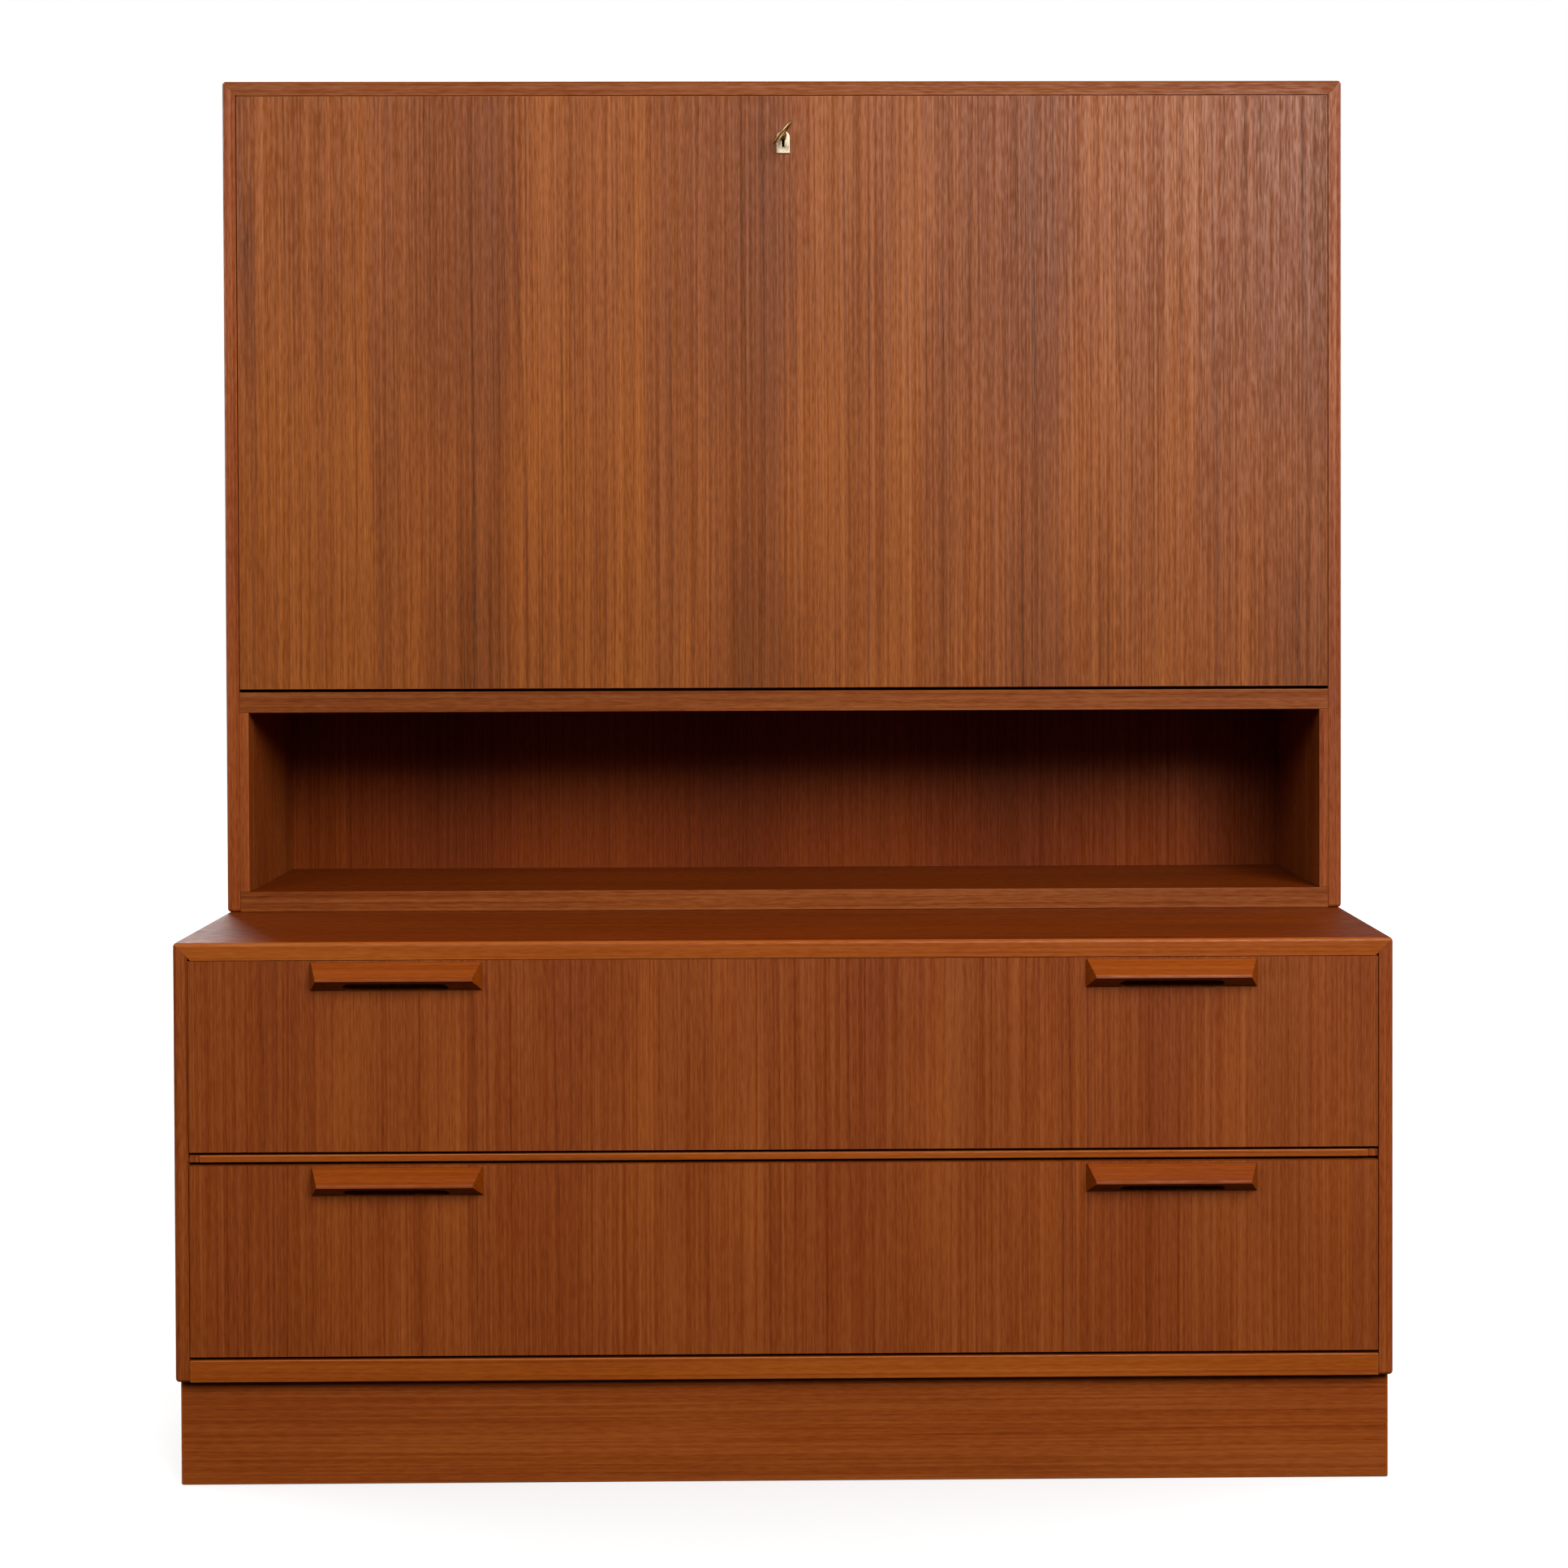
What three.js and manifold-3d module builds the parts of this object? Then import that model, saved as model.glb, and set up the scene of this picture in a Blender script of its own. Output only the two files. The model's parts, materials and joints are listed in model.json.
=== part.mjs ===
// Secretary desk in teak. A base cabinet with two wide drawers stands on a plinth. A shallower
// upper cabinet stands on it, with an open niche and a fall front that drops to a writing surface.
// Units are millimetres, +Z is up and the front faces -Y. The origin is on the floor, at the
// centre of the desk's footprint with its drawer pulls.
import * as THREE from "three";
import { mergeVertices } from "three/addons/utils/BufferGeometryUtils.js";
import Module from "manifold-3d";

const wasm = await Module();
wasm.setup();

// ---- Driving dimensions -------------------------------------------------------------------

const WIDTH = 1100;
const BASE_DEPTH = 440;
const UPPER_DEPTH = 222;
const PLINTH_HEIGHT = 97;
const BASE_HEIGHT = 397; // the base cabinet's carcass, above the plinth
const UPPER_HEIGHT = 816;

const SIDE_THICKNESS = 22; // side panels, and the tops that are mitred to them
const PANEL_THICKNESS = 20; // bottoms and shelf
const BACK_THICKNESS = 6;
const BACK_RECESS = 7; // from the rear edge to the back panel
const BACK_REBATE = 10; // how far the back panel reaches over the edges around it
const SIDE_LIP = 13; // front edge of a side that shows beside the flap and drawers
const UPPER_TOP_LIP = 14;
const BASE_TOP_LIP = 16;

const FRONT_THICKNESS = 18; // flap and drawer fronts
const FRONT_SIDE_GAP = 0.8;
const FRONT_TOP_GAP = 0.6;
const FRONT_SHOULDER_GAP = 0.5; // behind a closed front
const SHADOW_GAP = 3; // under the flap and around the rail between the drawers

const NICHE_HEIGHT = 176.5;
const RAIL_LIP_HEIGHT = 6.5;
const RAIL_THICKNESS = 20;
const RAIL_DEPTH = 60;
const RAIL_RECESS = 2;

const PLINTH_THICKNESS = 18;
const PLINTH_FRONT_RECESS = 12;
const PLINTH_SIDE_RECESS = 2;
const PLINTH_BACK_RECESS = 22;

const GLUE = 0.2; // gap that stands for a glue line between touching boards
const OVERSHOOT = 1; // how far a cutter runs past the face that it opens

// Flap pivots and stays. The pivot's axis is this far behind the flap's face and above its edge.
const PIVOT_INSET = 7;
const PIVOT_PLATE = { width: 10, length: 60, thickness: 2.4, below: 5 };
const PIVOT_PIN_RADIUS = 2.5;
const PIN_CLEARANCE = 0.3;
const PIVOT_SWEEP_GAP = 1; // between the flap's turning edge and the floor board

const STAY_PIN_BEHIND_FLAP = 8;
const STAY_SPREAD = 24; // degrees from the pin to the stud, about the flap's axis
const STAY_ARM = { width: 12, thickness: 2.5, fromSide: 6.5, endMargin: 10, slotMargin: 4 };
const STAY_STUD_RADIUS = 3;
const STAY_PIN_RADIUS = 2.5;
const FLAP_OPEN_ANGLE = 90;

// Drawers
const DRAWER_END_GAP = 29; // from a closed drawer to the back panel
const DRAWER_SIDE_THICKNESS = 14;
const DRAWER_SIDE_GAP = 1.5;
const DRAWER_SIDE_RAISE = 6; // above the front's lower edge
const DRAWER_SIDE_DROP = 16.5; // below the front's upper edge
const DRAWER_BACK_THICKNESS = 12;
const DRAWER_BACK_DROP = 8; // of the back's top edge below the sides'
const DRAWER_BOTTOM = { thickness: 4.6, raise: 8, groove: 6, slack: 0.3 };
const RUNNER = { height: 16, reach: 8, clearance: 0.5, frontGap: 4, endGap: 6 };

// Drawer pulls: a sloping lip with bevelled ends, and a finger groove behind it
const PULL_LENGTH = 155;
const PULL_OFFSET = 349; // from the desk's centre to each pull's centre
const PULL_DROP = 1.5; // below the front's top edge
const PULL_PROJECTION = 18;
const PULL_HEIGHT = 25.5;
const PULL_LIP_DROP = 15; // from the pull's top to the lip's lower edge
const PULL_END_BEVEL = 7.5;
const GROOVE_RADIUS = 10;
const GROOVE_LENGTH = 98;
const GROOVE_CENTRE = { out: 3, down: 17 };

// Lock, in the flap's top edge
const KEY_BELOW_FLAP_TOP = 41.2;
const KEY_TILT = 38; // degrees clockwise from upright, as seen from the front
const KEY_SHAFT_RADIUS = 2;
const LOCK_CASE = { width: 56, depth: 9.5, below: 20, wall: 1.5 };
const BOLT = { width: 24, thickness: 4.4, height: 26, down: 1 };
const STRIKE = { width: 40, depth: 9, thickness: 1.2, holeMargin: 1, holeDepth: 8 };
const ESCUTCHEON = { radius: 6.5, tail: 15.6, thickness: 1.6 };

// Inside of the writing compartment
const FITMENT_THICKNESS = 12;
const FITMENT_SETBACK = 45; // from the cabinet's front face
const UPRIGHT_OFFSET = 176;
const CENTRE_SHELF_RISE = 195; // above the floor board
const SIDE_SHELF_RISE = 285;

const DOWEL = { radius: 4, length: 30, inBase: 14, offset: 400, fromFront: 120 };

// ---- Derived places -----------------------------------------------------------------------

const HALF = WIDTH / 2;
const INNER = HALF - SIDE_THICKNESS; // inner face of a side
const LIP_WALL = HALF - SIDE_LIP; // wall of the rebate in a side's front edge
const BACK_Y = (BASE_DEPTH + PULL_PROJECTION) / 2;
const FRONT_HALF_WIDTH = LIP_WALL - FRONT_SIDE_GAP;
const SHOULDER = FRONT_THICKNESS + FRONT_SHOULDER_GAP;
const FLAP_REAR_RADIUS = Math.hypot(FRONT_THICKNESS - PIVOT_INSET, PIVOT_INSET);
const SWEEP_SHOULDER = PIVOT_INSET + FLAP_REAR_RADIUS + PIVOT_SWEEP_GAP;
const BACK_ALLOWANCE = BACK_RECESS + BACK_THICKNESS;
const UPPER_INNER_DEPTH = UPPER_DEPTH - BACK_ALLOWANCE;
const BASE_INNER_DEPTH = BASE_DEPTH - BACK_ALLOWANCE;

const SHELF_BOTTOM = PANEL_THICKNESS + NICHE_HEIGHT;
const SHELF_TOP = SHELF_BOTTOM + PANEL_THICKNESS;
const FLAP_BOTTOM = SHELF_TOP + SHADOW_GAP;
const FLAP_TOP = UPPER_HEIGHT - UPPER_TOP_LIP - FRONT_TOP_GAP;
const FLOOR_BOARD_TOP = FLAP_BOTTOM + FRONT_THICKNESS; // level with the lowered flap

const DRAWERS_HEIGHT = BASE_HEIGHT - PANEL_THICKNESS - BASE_TOP_LIP - FRONT_TOP_GAP;
const DRAWER_FRONT_HEIGHT = (DRAWERS_HEIGHT - RAIL_LIP_HEIGHT - 3 * SHADOW_GAP) / 2;
const LOWER_DRAWER_Z = PANEL_THICKNESS + SHADOW_GAP;
const RAIL_LIP_BOTTOM = LOWER_DRAWER_Z + DRAWER_FRONT_HEIGHT + SHADOW_GAP;
const RAIL_MIDDLE = RAIL_LIP_BOTTOM + RAIL_LIP_HEIGHT / 2;
const UPPER_DRAWER_Z = RAIL_LIP_BOTTOM + RAIL_LIP_HEIGHT + SHADOW_GAP;

// ---- Finishes -----------------------------------------------------------------------------

const finish = (color, roughness, metalness = 0) =>
  new THREE.MeshStandardMaterial({ color, roughness, metalness });
const teakVeneer = finish(0x8a4a22, 0.45);
const teakSolid = finish(0x9a5a26, 0.4);
const teakBack = finish(0x5e3218, 0.6);
const drawerWood = finish(0xb98a58, 0.6);
const plywood = finish(0xc2a074, 0.7);
const brass = finish(0xc9a25a, 0.3, 1);
const steel = finish(0x9a9a98, 0.4, 1);

// ---- Geometry helpers ---------------------------------------------------------------------

function solidOf(geometry) {
  const bare = geometry.clone();
  bare.deleteAttribute("normal");
  bare.deleteAttribute("uv");
  const merged = mergeVertices(bare, 1e-4);
  return new wasm.Manifold(
    new wasm.Mesh({
      numProp: 3,
      vertProperties: merged.attributes.position.array,
      triVerts: new Uint32Array(merged.index.array),
    }),
  );
}

function geometryOf(solid) {
  const mesh = solid.getMesh();
  const indexed = new THREE.BufferGeometry()
    .setAttribute("position", new THREE.BufferAttribute(mesh.vertProperties, mesh.numProp))
    .setIndex(new THREE.BufferAttribute(mesh.triVerts, 1));
  const faceted = indexed.toNonIndexed();
  faceted.computeVertexNormals();
  return faceted;
}

function cut(geometry, ...tools) {
  return geometryOf(tools.reduce((solid, tool) => solid.subtract(solidOf(tool)), solidOf(geometry)));
}

function join(geometry, ...pieces) {
  return geometryOf(pieces.reduce((solid, piece) => solid.add(solidOf(piece)), solidOf(geometry)));
}

// A box between two limits on each axis.
function box([x0, x1], [y0, y1], [z0, z1]) {
  const geometry = new THREE.BoxGeometry(x1 - x0, y1 - y0, z1 - z0);
  return geometry.translate((x0 + x1) / 2, (y0 + y1) / 2, (z0 + z1) / 2);
}

// The span from a to b outwards from the centre line, on the left (-1) or right (+1) side.
const outwards = (side, a, b) => (side < 0 ? [-b, -a] : [a, b]);
const centred = (halfWidth) => [-halfWidth, halfWidth];

function extrusion(shape, length, basis) {
  const geometry = new THREE.ExtrudeGeometry(shape, {
    depth: length,
    bevelEnabled: false,
    curveSegments: 10,
  });
  return geometry.applyMatrix4(basis);
}

const outline = (points) => new THREE.Shape(points.map(([a, b]) => new THREE.Vector2(a, b)));

// A shape drawn in X and Z, extruded from y0 to y1.
function alongY(shape, [y0, y1]) {
  const basis = new THREE.Matrix4().makeBasis(
    new THREE.Vector3(1, 0, 0),
    new THREE.Vector3(0, 0, 1),
    new THREE.Vector3(0, -1, 0),
  );
  return extrusion(shape, y1 - y0, basis).translate(0, y1, 0);
}

// A shape drawn in Y and Z, extruded from x0 to x1.
function alongX(shape, [x0, x1]) {
  const basis = new THREE.Matrix4().makeBasis(
    new THREE.Vector3(0, 1, 0),
    new THREE.Vector3(0, 0, 1),
    new THREE.Vector3(1, 0, 0),
  );
  return extrusion(shape, x1 - x0, basis).translate(x0, 0, 0);
}

// A shape drawn in X and Y, extruded from z0 to z1.
const alongZ = (shape, [z0, z1]) =>
  extrusion(shape, z1 - z0, new THREE.Matrix4()).translate(0, 0, z0);

const rodX = (radius, [x0, x1], y, z, sides = 24) =>
  new THREE.CylinderGeometry(radius, radius, x1 - x0, sides)
    .rotateZ(Math.PI / 2)
    .translate((x0 + x1) / 2, y, z);

const rodY = (radius, x, [y0, y1], z, sides = 24) =>
  new THREE.CylinderGeometry(radius, radius, y1 - y0, sides).translate(x, (y0 + y1) / 2, z);

const rodZ = (radius, x, y, [z0, z1], sides = 24) =>
  new THREE.CylinderGeometry(radius, radius, z1 - z0, sides)
    .rotateX(Math.PI / 2)
    .translate(x, y, (z0 + z1) / 2);

function add(parent, name, material, geometry) {
  const mesh = new THREE.Mesh(geometry, material);
  mesh.name = name;
  parent.add(mesh);
  return mesh;
}

function groupAt(parent, x, y, z) {
  const group = new THREE.Group();
  group.position.set(x, y, z);
  parent.add(group);
  return group;
}

const SIDES = [
  [-1, "left"],
  [1, "right"],
];

// ---- Carcass pieces that both cabinets share ----------------------------------------------

// A side panel: mitred to the top, with a rebate for the fronts and one for the back panel.
function sidePanel(side, height, depth, shoulder) {
  const mitreGap = GLUE * Math.SQRT2;
  const profile = outline([
    [side * INNER, 0],
    [side * HALF, 0],
    [side * HALF, height - mitreGap],
    [side * INNER, height - SIDE_THICKNESS - mitreGap],
  ]);
  const wholeHeight = [-OVERSHOOT, height + OVERSHOOT];
  const inner = INNER - OVERSHOOT;
  return cut(
    alongY(profile, [0, depth]),
    box(outwards(side, inner, LIP_WALL), [-OVERSHOOT, shoulder], wholeHeight),
    box(
      outwards(side, inner, INNER + BACK_REBATE),
      [depth - BACK_ALLOWANCE, depth + OVERSHOOT],
      wholeHeight,
    ),
  );
}

// A top panel with mitred ends, rebated in front for the fronts and behind for the back panel.
function topPanel(height, depth, lip) {
  const underside = height - SIDE_THICKNESS;
  const profile = outline([
    [-INNER, underside],
    [INNER, underside],
    [HALF, height],
    [-HALF, height],
  ]);
  return cut(
    alongY(profile, [0, depth]),
    box(centred(LIP_WALL), [-OVERSHOOT, SHOULDER], [underside - OVERSHOOT, height - lip]),
    box(
      centred(HALF),
      [depth - BACK_ALLOWANCE, depth + OVERSHOOT],
      [underside - OVERSHOOT, underside + BACK_REBATE],
    ),
  );
}

// A bottom or shelf between the sides. Its front edge has wings that fill the sides' rebates.
function crossPanel(depth, shoulder, [z0, z1]) {
  const body = INNER - GLUE;
  const wing = LIP_WALL - GLUE;
  const wingDepth = shoulder - GLUE;
  const plan = outline([
    [-wing, 0],
    [wing, 0],
    [wing, wingDepth],
    [body, wingDepth],
    [body, depth],
    [-body, depth],
    [-body, wingDepth],
    [-wing, wingDepth],
  ]);
  return alongZ(plan, [z0, z1]);
}

function backPanel(height, depth) {
  const front = depth - BACK_ALLOWANCE + GLUE;
  return box(
    centred(INNER + BACK_REBATE - GLUE),
    [front, front + BACK_THICKNESS],
    [GLUE, height - SIDE_THICKNESS + BACK_REBATE - GLUE],
  );
}

// ---- Plinth -------------------------------------------------------------------------------

function makePlinth(parent) {
  const half = HALF - PLINTH_SIDE_RECESS;
  const tall = [0, PLINTH_HEIGHT - GLUE];
  const frontFace = PLINTH_FRONT_RECESS;
  const rear = BASE_DEPTH - PLINTH_BACK_RECESS;
  const sideInner = half - PLINTH_THICKNESS;
  const frontBack = frontFace + PLINTH_THICKNESS;
  add(parent, "plinth_front", teakSolid, box(centred(half), [frontFace, frontBack], tall));
  for (const [side, label] of SIDES) {
    const span = outwards(side, sideInner, half);
    add(parent, `plinth_${label}`, teakSolid, box(span, [frontBack + GLUE, rear], tall));
  }
  add(
    parent,
    "plinth_back",
    drawerWood,
    box(centred(sideInner - GLUE), [rear - PLINTH_THICKNESS, rear], tall),
  );
}

// ---- Base cabinet -------------------------------------------------------------------------

function makeBaseCarcass(parent) {
  for (const [side, label] of SIDES) {
    add(parent, `base_side_${label}`, teakVeneer, sidePanel(side, BASE_HEIGHT, BASE_DEPTH, SHOULDER));
  }
  const dowelY = BASE_DEPTH - UPPER_DEPTH + DOWEL.fromFront;
  const dowelHoles = SIDES.map(([side]) =>
    rodZ(
      DOWEL.radius + PIN_CLEARANCE,
      side * DOWEL.offset,
      dowelY,
      [BASE_HEIGHT - DOWEL.inBase, BASE_HEIGHT + OVERSHOOT],
    ),
  );
  const top = topPanel(BASE_HEIGHT, BASE_DEPTH, BASE_TOP_LIP);
  add(parent, "base_top", teakVeneer, cut(top, ...dowelHoles));
  add(
    parent,
    "base_bottom",
    teakVeneer,
    crossPanel(BASE_INNER_DEPTH, SHOULDER, [0, PANEL_THICKNESS]),
  );
  add(parent, "base_back", plywood, backPanel(BASE_HEIGHT, BASE_DEPTH));

  const lipTop = RAIL_LIP_BOTTOM + RAIL_LIP_HEIGHT;
  const railSection = outline([
    [RAIL_RECESS, RAIL_LIP_BOTTOM],
    [SHOULDER, RAIL_LIP_BOTTOM],
    [SHOULDER, RAIL_MIDDLE - RAIL_THICKNESS / 2],
    [SHOULDER + RAIL_DEPTH, RAIL_MIDDLE - RAIL_THICKNESS / 2],
    [SHOULDER + RAIL_DEPTH, RAIL_MIDDLE + RAIL_THICKNESS / 2],
    [SHOULDER, RAIL_MIDDLE + RAIL_THICKNESS / 2],
    [SHOULDER, lipTop],
    [RAIL_RECESS, lipTop],
  ]);
  add(parent, "drawer_rail", teakSolid, alongX(railSection, centred(INNER - GLUE)));
}

// ---- Drawers ------------------------------------------------------------------------------

// The finger groove, as a capsule along X whose middle is at the given place.
const fingerGroove = (x, topZ) =>
  new THREE.CapsuleGeometry(GROOVE_RADIUS, GROOVE_LENGTH - 2 * GROOVE_RADIUS, 6, 20)
    .rotateZ(Math.PI / 2)
    .translate(x, -GROOVE_CENTRE.out, topZ - GROOVE_CENTRE.down);

// A pull on the face at y = 0, its top edge at topZ and its middle at x.
function pull(x, topZ) {
  const edge = 1.5; // small flats that blunt the lip and the top
  const face = -GLUE;
  const lip = -PULL_PROJECTION;
  const section = outline([
    [face, topZ],
    [face - 2 * edge, topZ],
    [lip + edge / 2, topZ - PULL_LIP_DROP + 2 * edge],
    [lip, topZ - PULL_LIP_DROP + edge],
    [lip, topZ - PULL_LIP_DROP],
    [lip + edge, topZ - PULL_LIP_DROP - edge / 2],
    [face, topZ - PULL_HEIGHT],
  ]);
  const half = PULL_LENGTH / 2;
  const bevels = SIDES.map(([side]) =>
    alongZ(
      outline([
        [x + side * half, 0],
        [x + side * (half + OVERSHOOT), 0],
        [x + side * (half + OVERSHOOT), lip - OVERSHOOT],
        [x + side * (half - PULL_END_BEVEL * (1 + OVERSHOOT / PULL_PROJECTION)), lip - OVERSHOOT],
      ]),
      [topZ - PULL_HEIGHT - OVERSHOOT, topZ + OVERSHOOT],
    ),
  );
  return cut(alongX(section, [x - half, x + half]), ...bevels, fingerGroove(x, topZ));
}

// One drawer, in a group whose origin is the middle of its front's lower edge.
function makeDrawer(parent, name, z) {
  const drawer = groupAt(parent, 0, 0, z);
  const pullTop = DRAWER_FRONT_HEIGHT - PULL_DROP;
  const outer = INNER - DRAWER_SIDE_GAP;
  const inner = outer - DRAWER_SIDE_THICKNESS;
  const sideBottom = DRAWER_SIDE_RAISE;
  const sideTop = DRAWER_FRONT_HEIGHT - DRAWER_SIDE_DROP;
  const start = FRONT_THICKNESS + GLUE;
  const end = BASE_INNER_DEPTH - DRAWER_END_GAP;
  const bottomZ = sideBottom + DRAWER_BOTTOM.raise;
  const grooveTop = bottomZ + DRAWER_BOTTOM.thickness + DRAWER_BOTTOM.slack;
  const grooveZ = [bottomZ - DRAWER_BOTTOM.slack, grooveTop];
  const { groove, slack } = DRAWER_BOTTOM;

  const bottomGroove = box(
    centred(inner + groove),
    [FRONT_THICKNESS - groove, FRONT_THICKNESS + OVERSHOOT],
    grooveZ,
  );
  const fingerGrooves = SIDES.map(([side]) => fingerGroove(side * PULL_OFFSET, pullTop));
  const front = box(centred(FRONT_HALF_WIDTH), [0, FRONT_THICKNESS], [0, DRAWER_FRONT_HEIGHT]);
  add(drawer, `${name}_front`, teakVeneer, cut(front, bottomGroove, ...fingerGrooves));

  const runnerGroove = RUNNER.height / 2 + RUNNER.clearance;
  const middle = (sideBottom + sideTop) / 2;
  for (const [side, label] of SIDES) {
    const blank = box(outwards(side, inner, outer), [start, end], [sideBottom, sideTop]);
    const forRunner = box(
      outwards(side, outer - RUNNER.reach, outer + OVERSHOOT),
      [start - OVERSHOOT, end + OVERSHOOT],
      [middle - runnerGroove, middle + runnerGroove],
    );
    const forBottom = box(
      outwards(side, inner - OVERSHOOT, inner + groove),
      [start - OVERSHOOT, end + OVERSHOOT],
      grooveZ,
    );
    add(drawer, `${name}_side_${label}`, drawerWood, cut(blank, forRunner, forBottom));
    add(drawer, `${name}_pull_${label}`, teakSolid, pull(side * PULL_OFFSET, pullTop));
  }
  add(
    drawer,
    `${name}_back`,
    drawerWood,
    box(
      centred(inner - GLUE),
      [end - DRAWER_BACK_THICKNESS, end],
      [grooveTop, sideTop - DRAWER_BACK_DROP],
    ),
  );
  add(
    drawer,
    `${name}_bottom`,
    plywood,
    box(
      centred(inner + groove - slack),
      [FRONT_THICKNESS - groove + slack, end],
      [bottomZ, bottomZ + DRAWER_BOTTOM.thickness],
    ),
  );
}

// The strips on the base cabinet's sides that a drawer's grooves run on.
function makeRunners(parent, name, drawerZ) {
  const middle = drawerZ + (DRAWER_SIDE_RAISE + DRAWER_FRONT_HEIGHT - DRAWER_SIDE_DROP) / 2;
  const tip = INNER - DRAWER_SIDE_GAP - RUNNER.reach + RUNNER.clearance;
  const start = FRONT_THICKNESS + RUNNER.frontGap;
  const end = BASE_INNER_DEPTH - RUNNER.endGap;
  for (const [side, label] of SIDES) {
    add(
      parent,
      `${name}_runner_${label}`,
      drawerWood,
      box(
        outwards(side, tip, INNER - GLUE),
        [start, end],
        [middle - RUNNER.height / 2, middle + RUNNER.height / 2],
      ),
    );
  }
}

// ---- Upper cabinet ------------------------------------------------------------------------

const PIVOT = { y: PIVOT_INSET, z: FLAP_BOTTOM + PIVOT_INSET };

// Where the stays' pins and studs are, from the flap's axis, with the flap closed. The stud and
// the pin are as far from the axis as each other, so an arm turns at half the flap's rate. An arm
// is as long as the space behind the flap is deep.
const stayArmLength = UPPER_INNER_DEPTH - FRONT_THICKNESS - STAY_PIN_BEHIND_FLAP;
const stayOpenSpread = THREE.MathUtils.degToRad(STAY_SPREAD + FLAP_OPEN_ANGLE);
const STAY_RADIUS = (stayArmLength - STAY_ARM.endMargin) / (2 * Math.sin(stayOpenSpread / 2));
const stayPinY = FRONT_THICKNESS - PIVOT_INSET + STAY_PIN_BEHIND_FLAP;
const stayPinZ = Math.sqrt(STAY_RADIUS ** 2 - stayPinY ** 2);
const stayStudAngle = Math.atan2(stayPinY, stayPinZ) + THREE.MathUtils.degToRad(STAY_SPREAD);
const STAY_PIN = { y: stayPinY, z: stayPinZ };
const STAY_STUD = {
  y: STAY_RADIUS * Math.sin(stayStudAngle),
  z: STAY_RADIUS * Math.cos(stayStudAngle),
};

function makeUpperCarcass(parent) {
  const plateMortise = (side) =>
    box(
      outwards(side, LIP_WALL - OVERSHOOT, LIP_WALL + PIVOT_PLATE.thickness + GLUE),
      centredAt(PIVOT.y, PIVOT_PLATE.width / 2 + GLUE),
      [PIVOT.z - PIVOT_PLATE.below - GLUE, PIVOT.z - PIVOT_PLATE.below + PIVOT_PLATE.length + GLUE],
    );
  for (const [side, label] of SIDES) {
    const panel = sidePanel(side, UPPER_HEIGHT, UPPER_DEPTH, SWEEP_SHOULDER);
    add(parent, `upper_side_${label}`, teakVeneer, cut(panel, plateMortise(side)));
    add(
      parent,
      `niche_strip_${label}`,
      teakSolid,
      box(
        outwards(side, INNER, LIP_WALL - GLUE),
        [0, SWEEP_SHOULDER - GLUE],
        [PANEL_THICKNESS + GLUE, SHELF_BOTTOM - GLUE],
      ),
    );
  }

  const boltY = PIVOT.y + lockMiddleY();
  const strikeZ = UPPER_HEIGHT - UPPER_TOP_LIP;
  const boltHole = box(
    centred(BOLT.width / 2 + STRIKE.holeMargin),
    centredAt(boltY, BOLT.thickness / 2 + STRIKE.holeMargin),
    [strikeZ - OVERSHOOT, strikeZ + STRIKE.holeDepth],
  );
  const strikeRecess = box(
    centred(STRIKE.width / 2 + GLUE),
    centredAt(boltY, STRIKE.depth / 2 + GLUE),
    [strikeZ - OVERSHOOT, strikeZ + STRIKE.thickness + GLUE],
  );
  const top = topPanel(UPPER_HEIGHT, UPPER_DEPTH, UPPER_TOP_LIP);
  add(parent, "upper_top", teakVeneer, cut(top, strikeRecess, boltHole));
  const strike = box(
    centred(STRIKE.width / 2),
    centredAt(boltY, STRIKE.depth / 2),
    [strikeZ, strikeZ + STRIKE.thickness],
  );
  add(parent, "lock_strike", brass, cut(strike, boltHole));

  const dowelHoles = SIDES.map(([side]) =>
    rodZ(
      DOWEL.radius + PIN_CLEARANCE,
      side * DOWEL.offset,
      DOWEL.fromFront,
      [-OVERSHOOT, DOWEL.length - DOWEL.inBase + PIN_CLEARANCE],
    ),
  );
  const bottom = crossPanel(UPPER_INNER_DEPTH, SWEEP_SHOULDER, [GLUE, PANEL_THICKNESS]);
  add(parent, "upper_bottom", teakVeneer, cut(bottom, ...dowelHoles));
  for (const [side, label] of SIDES) {
    add(
      parent,
      `dowel_${label}`,
      drawerWood,
      rodZ(
        DOWEL.radius,
        side * DOWEL.offset,
        DOWEL.fromFront,
        [PIN_CLEARANCE - DOWEL.inBase, DOWEL.length - DOWEL.inBase],
      ),
    );
  }
  add(
    parent,
    "desk_shelf",
    teakVeneer,
    crossPanel(UPPER_INNER_DEPTH, SWEEP_SHOULDER, [SHELF_BOTTOM, SHELF_TOP]),
  );
  add(parent, "upper_back", teakBack, backPanel(UPPER_HEIGHT, UPPER_DEPTH));
}

function centredAt(middle, half) {
  return [middle - half, middle + half];
}

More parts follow.
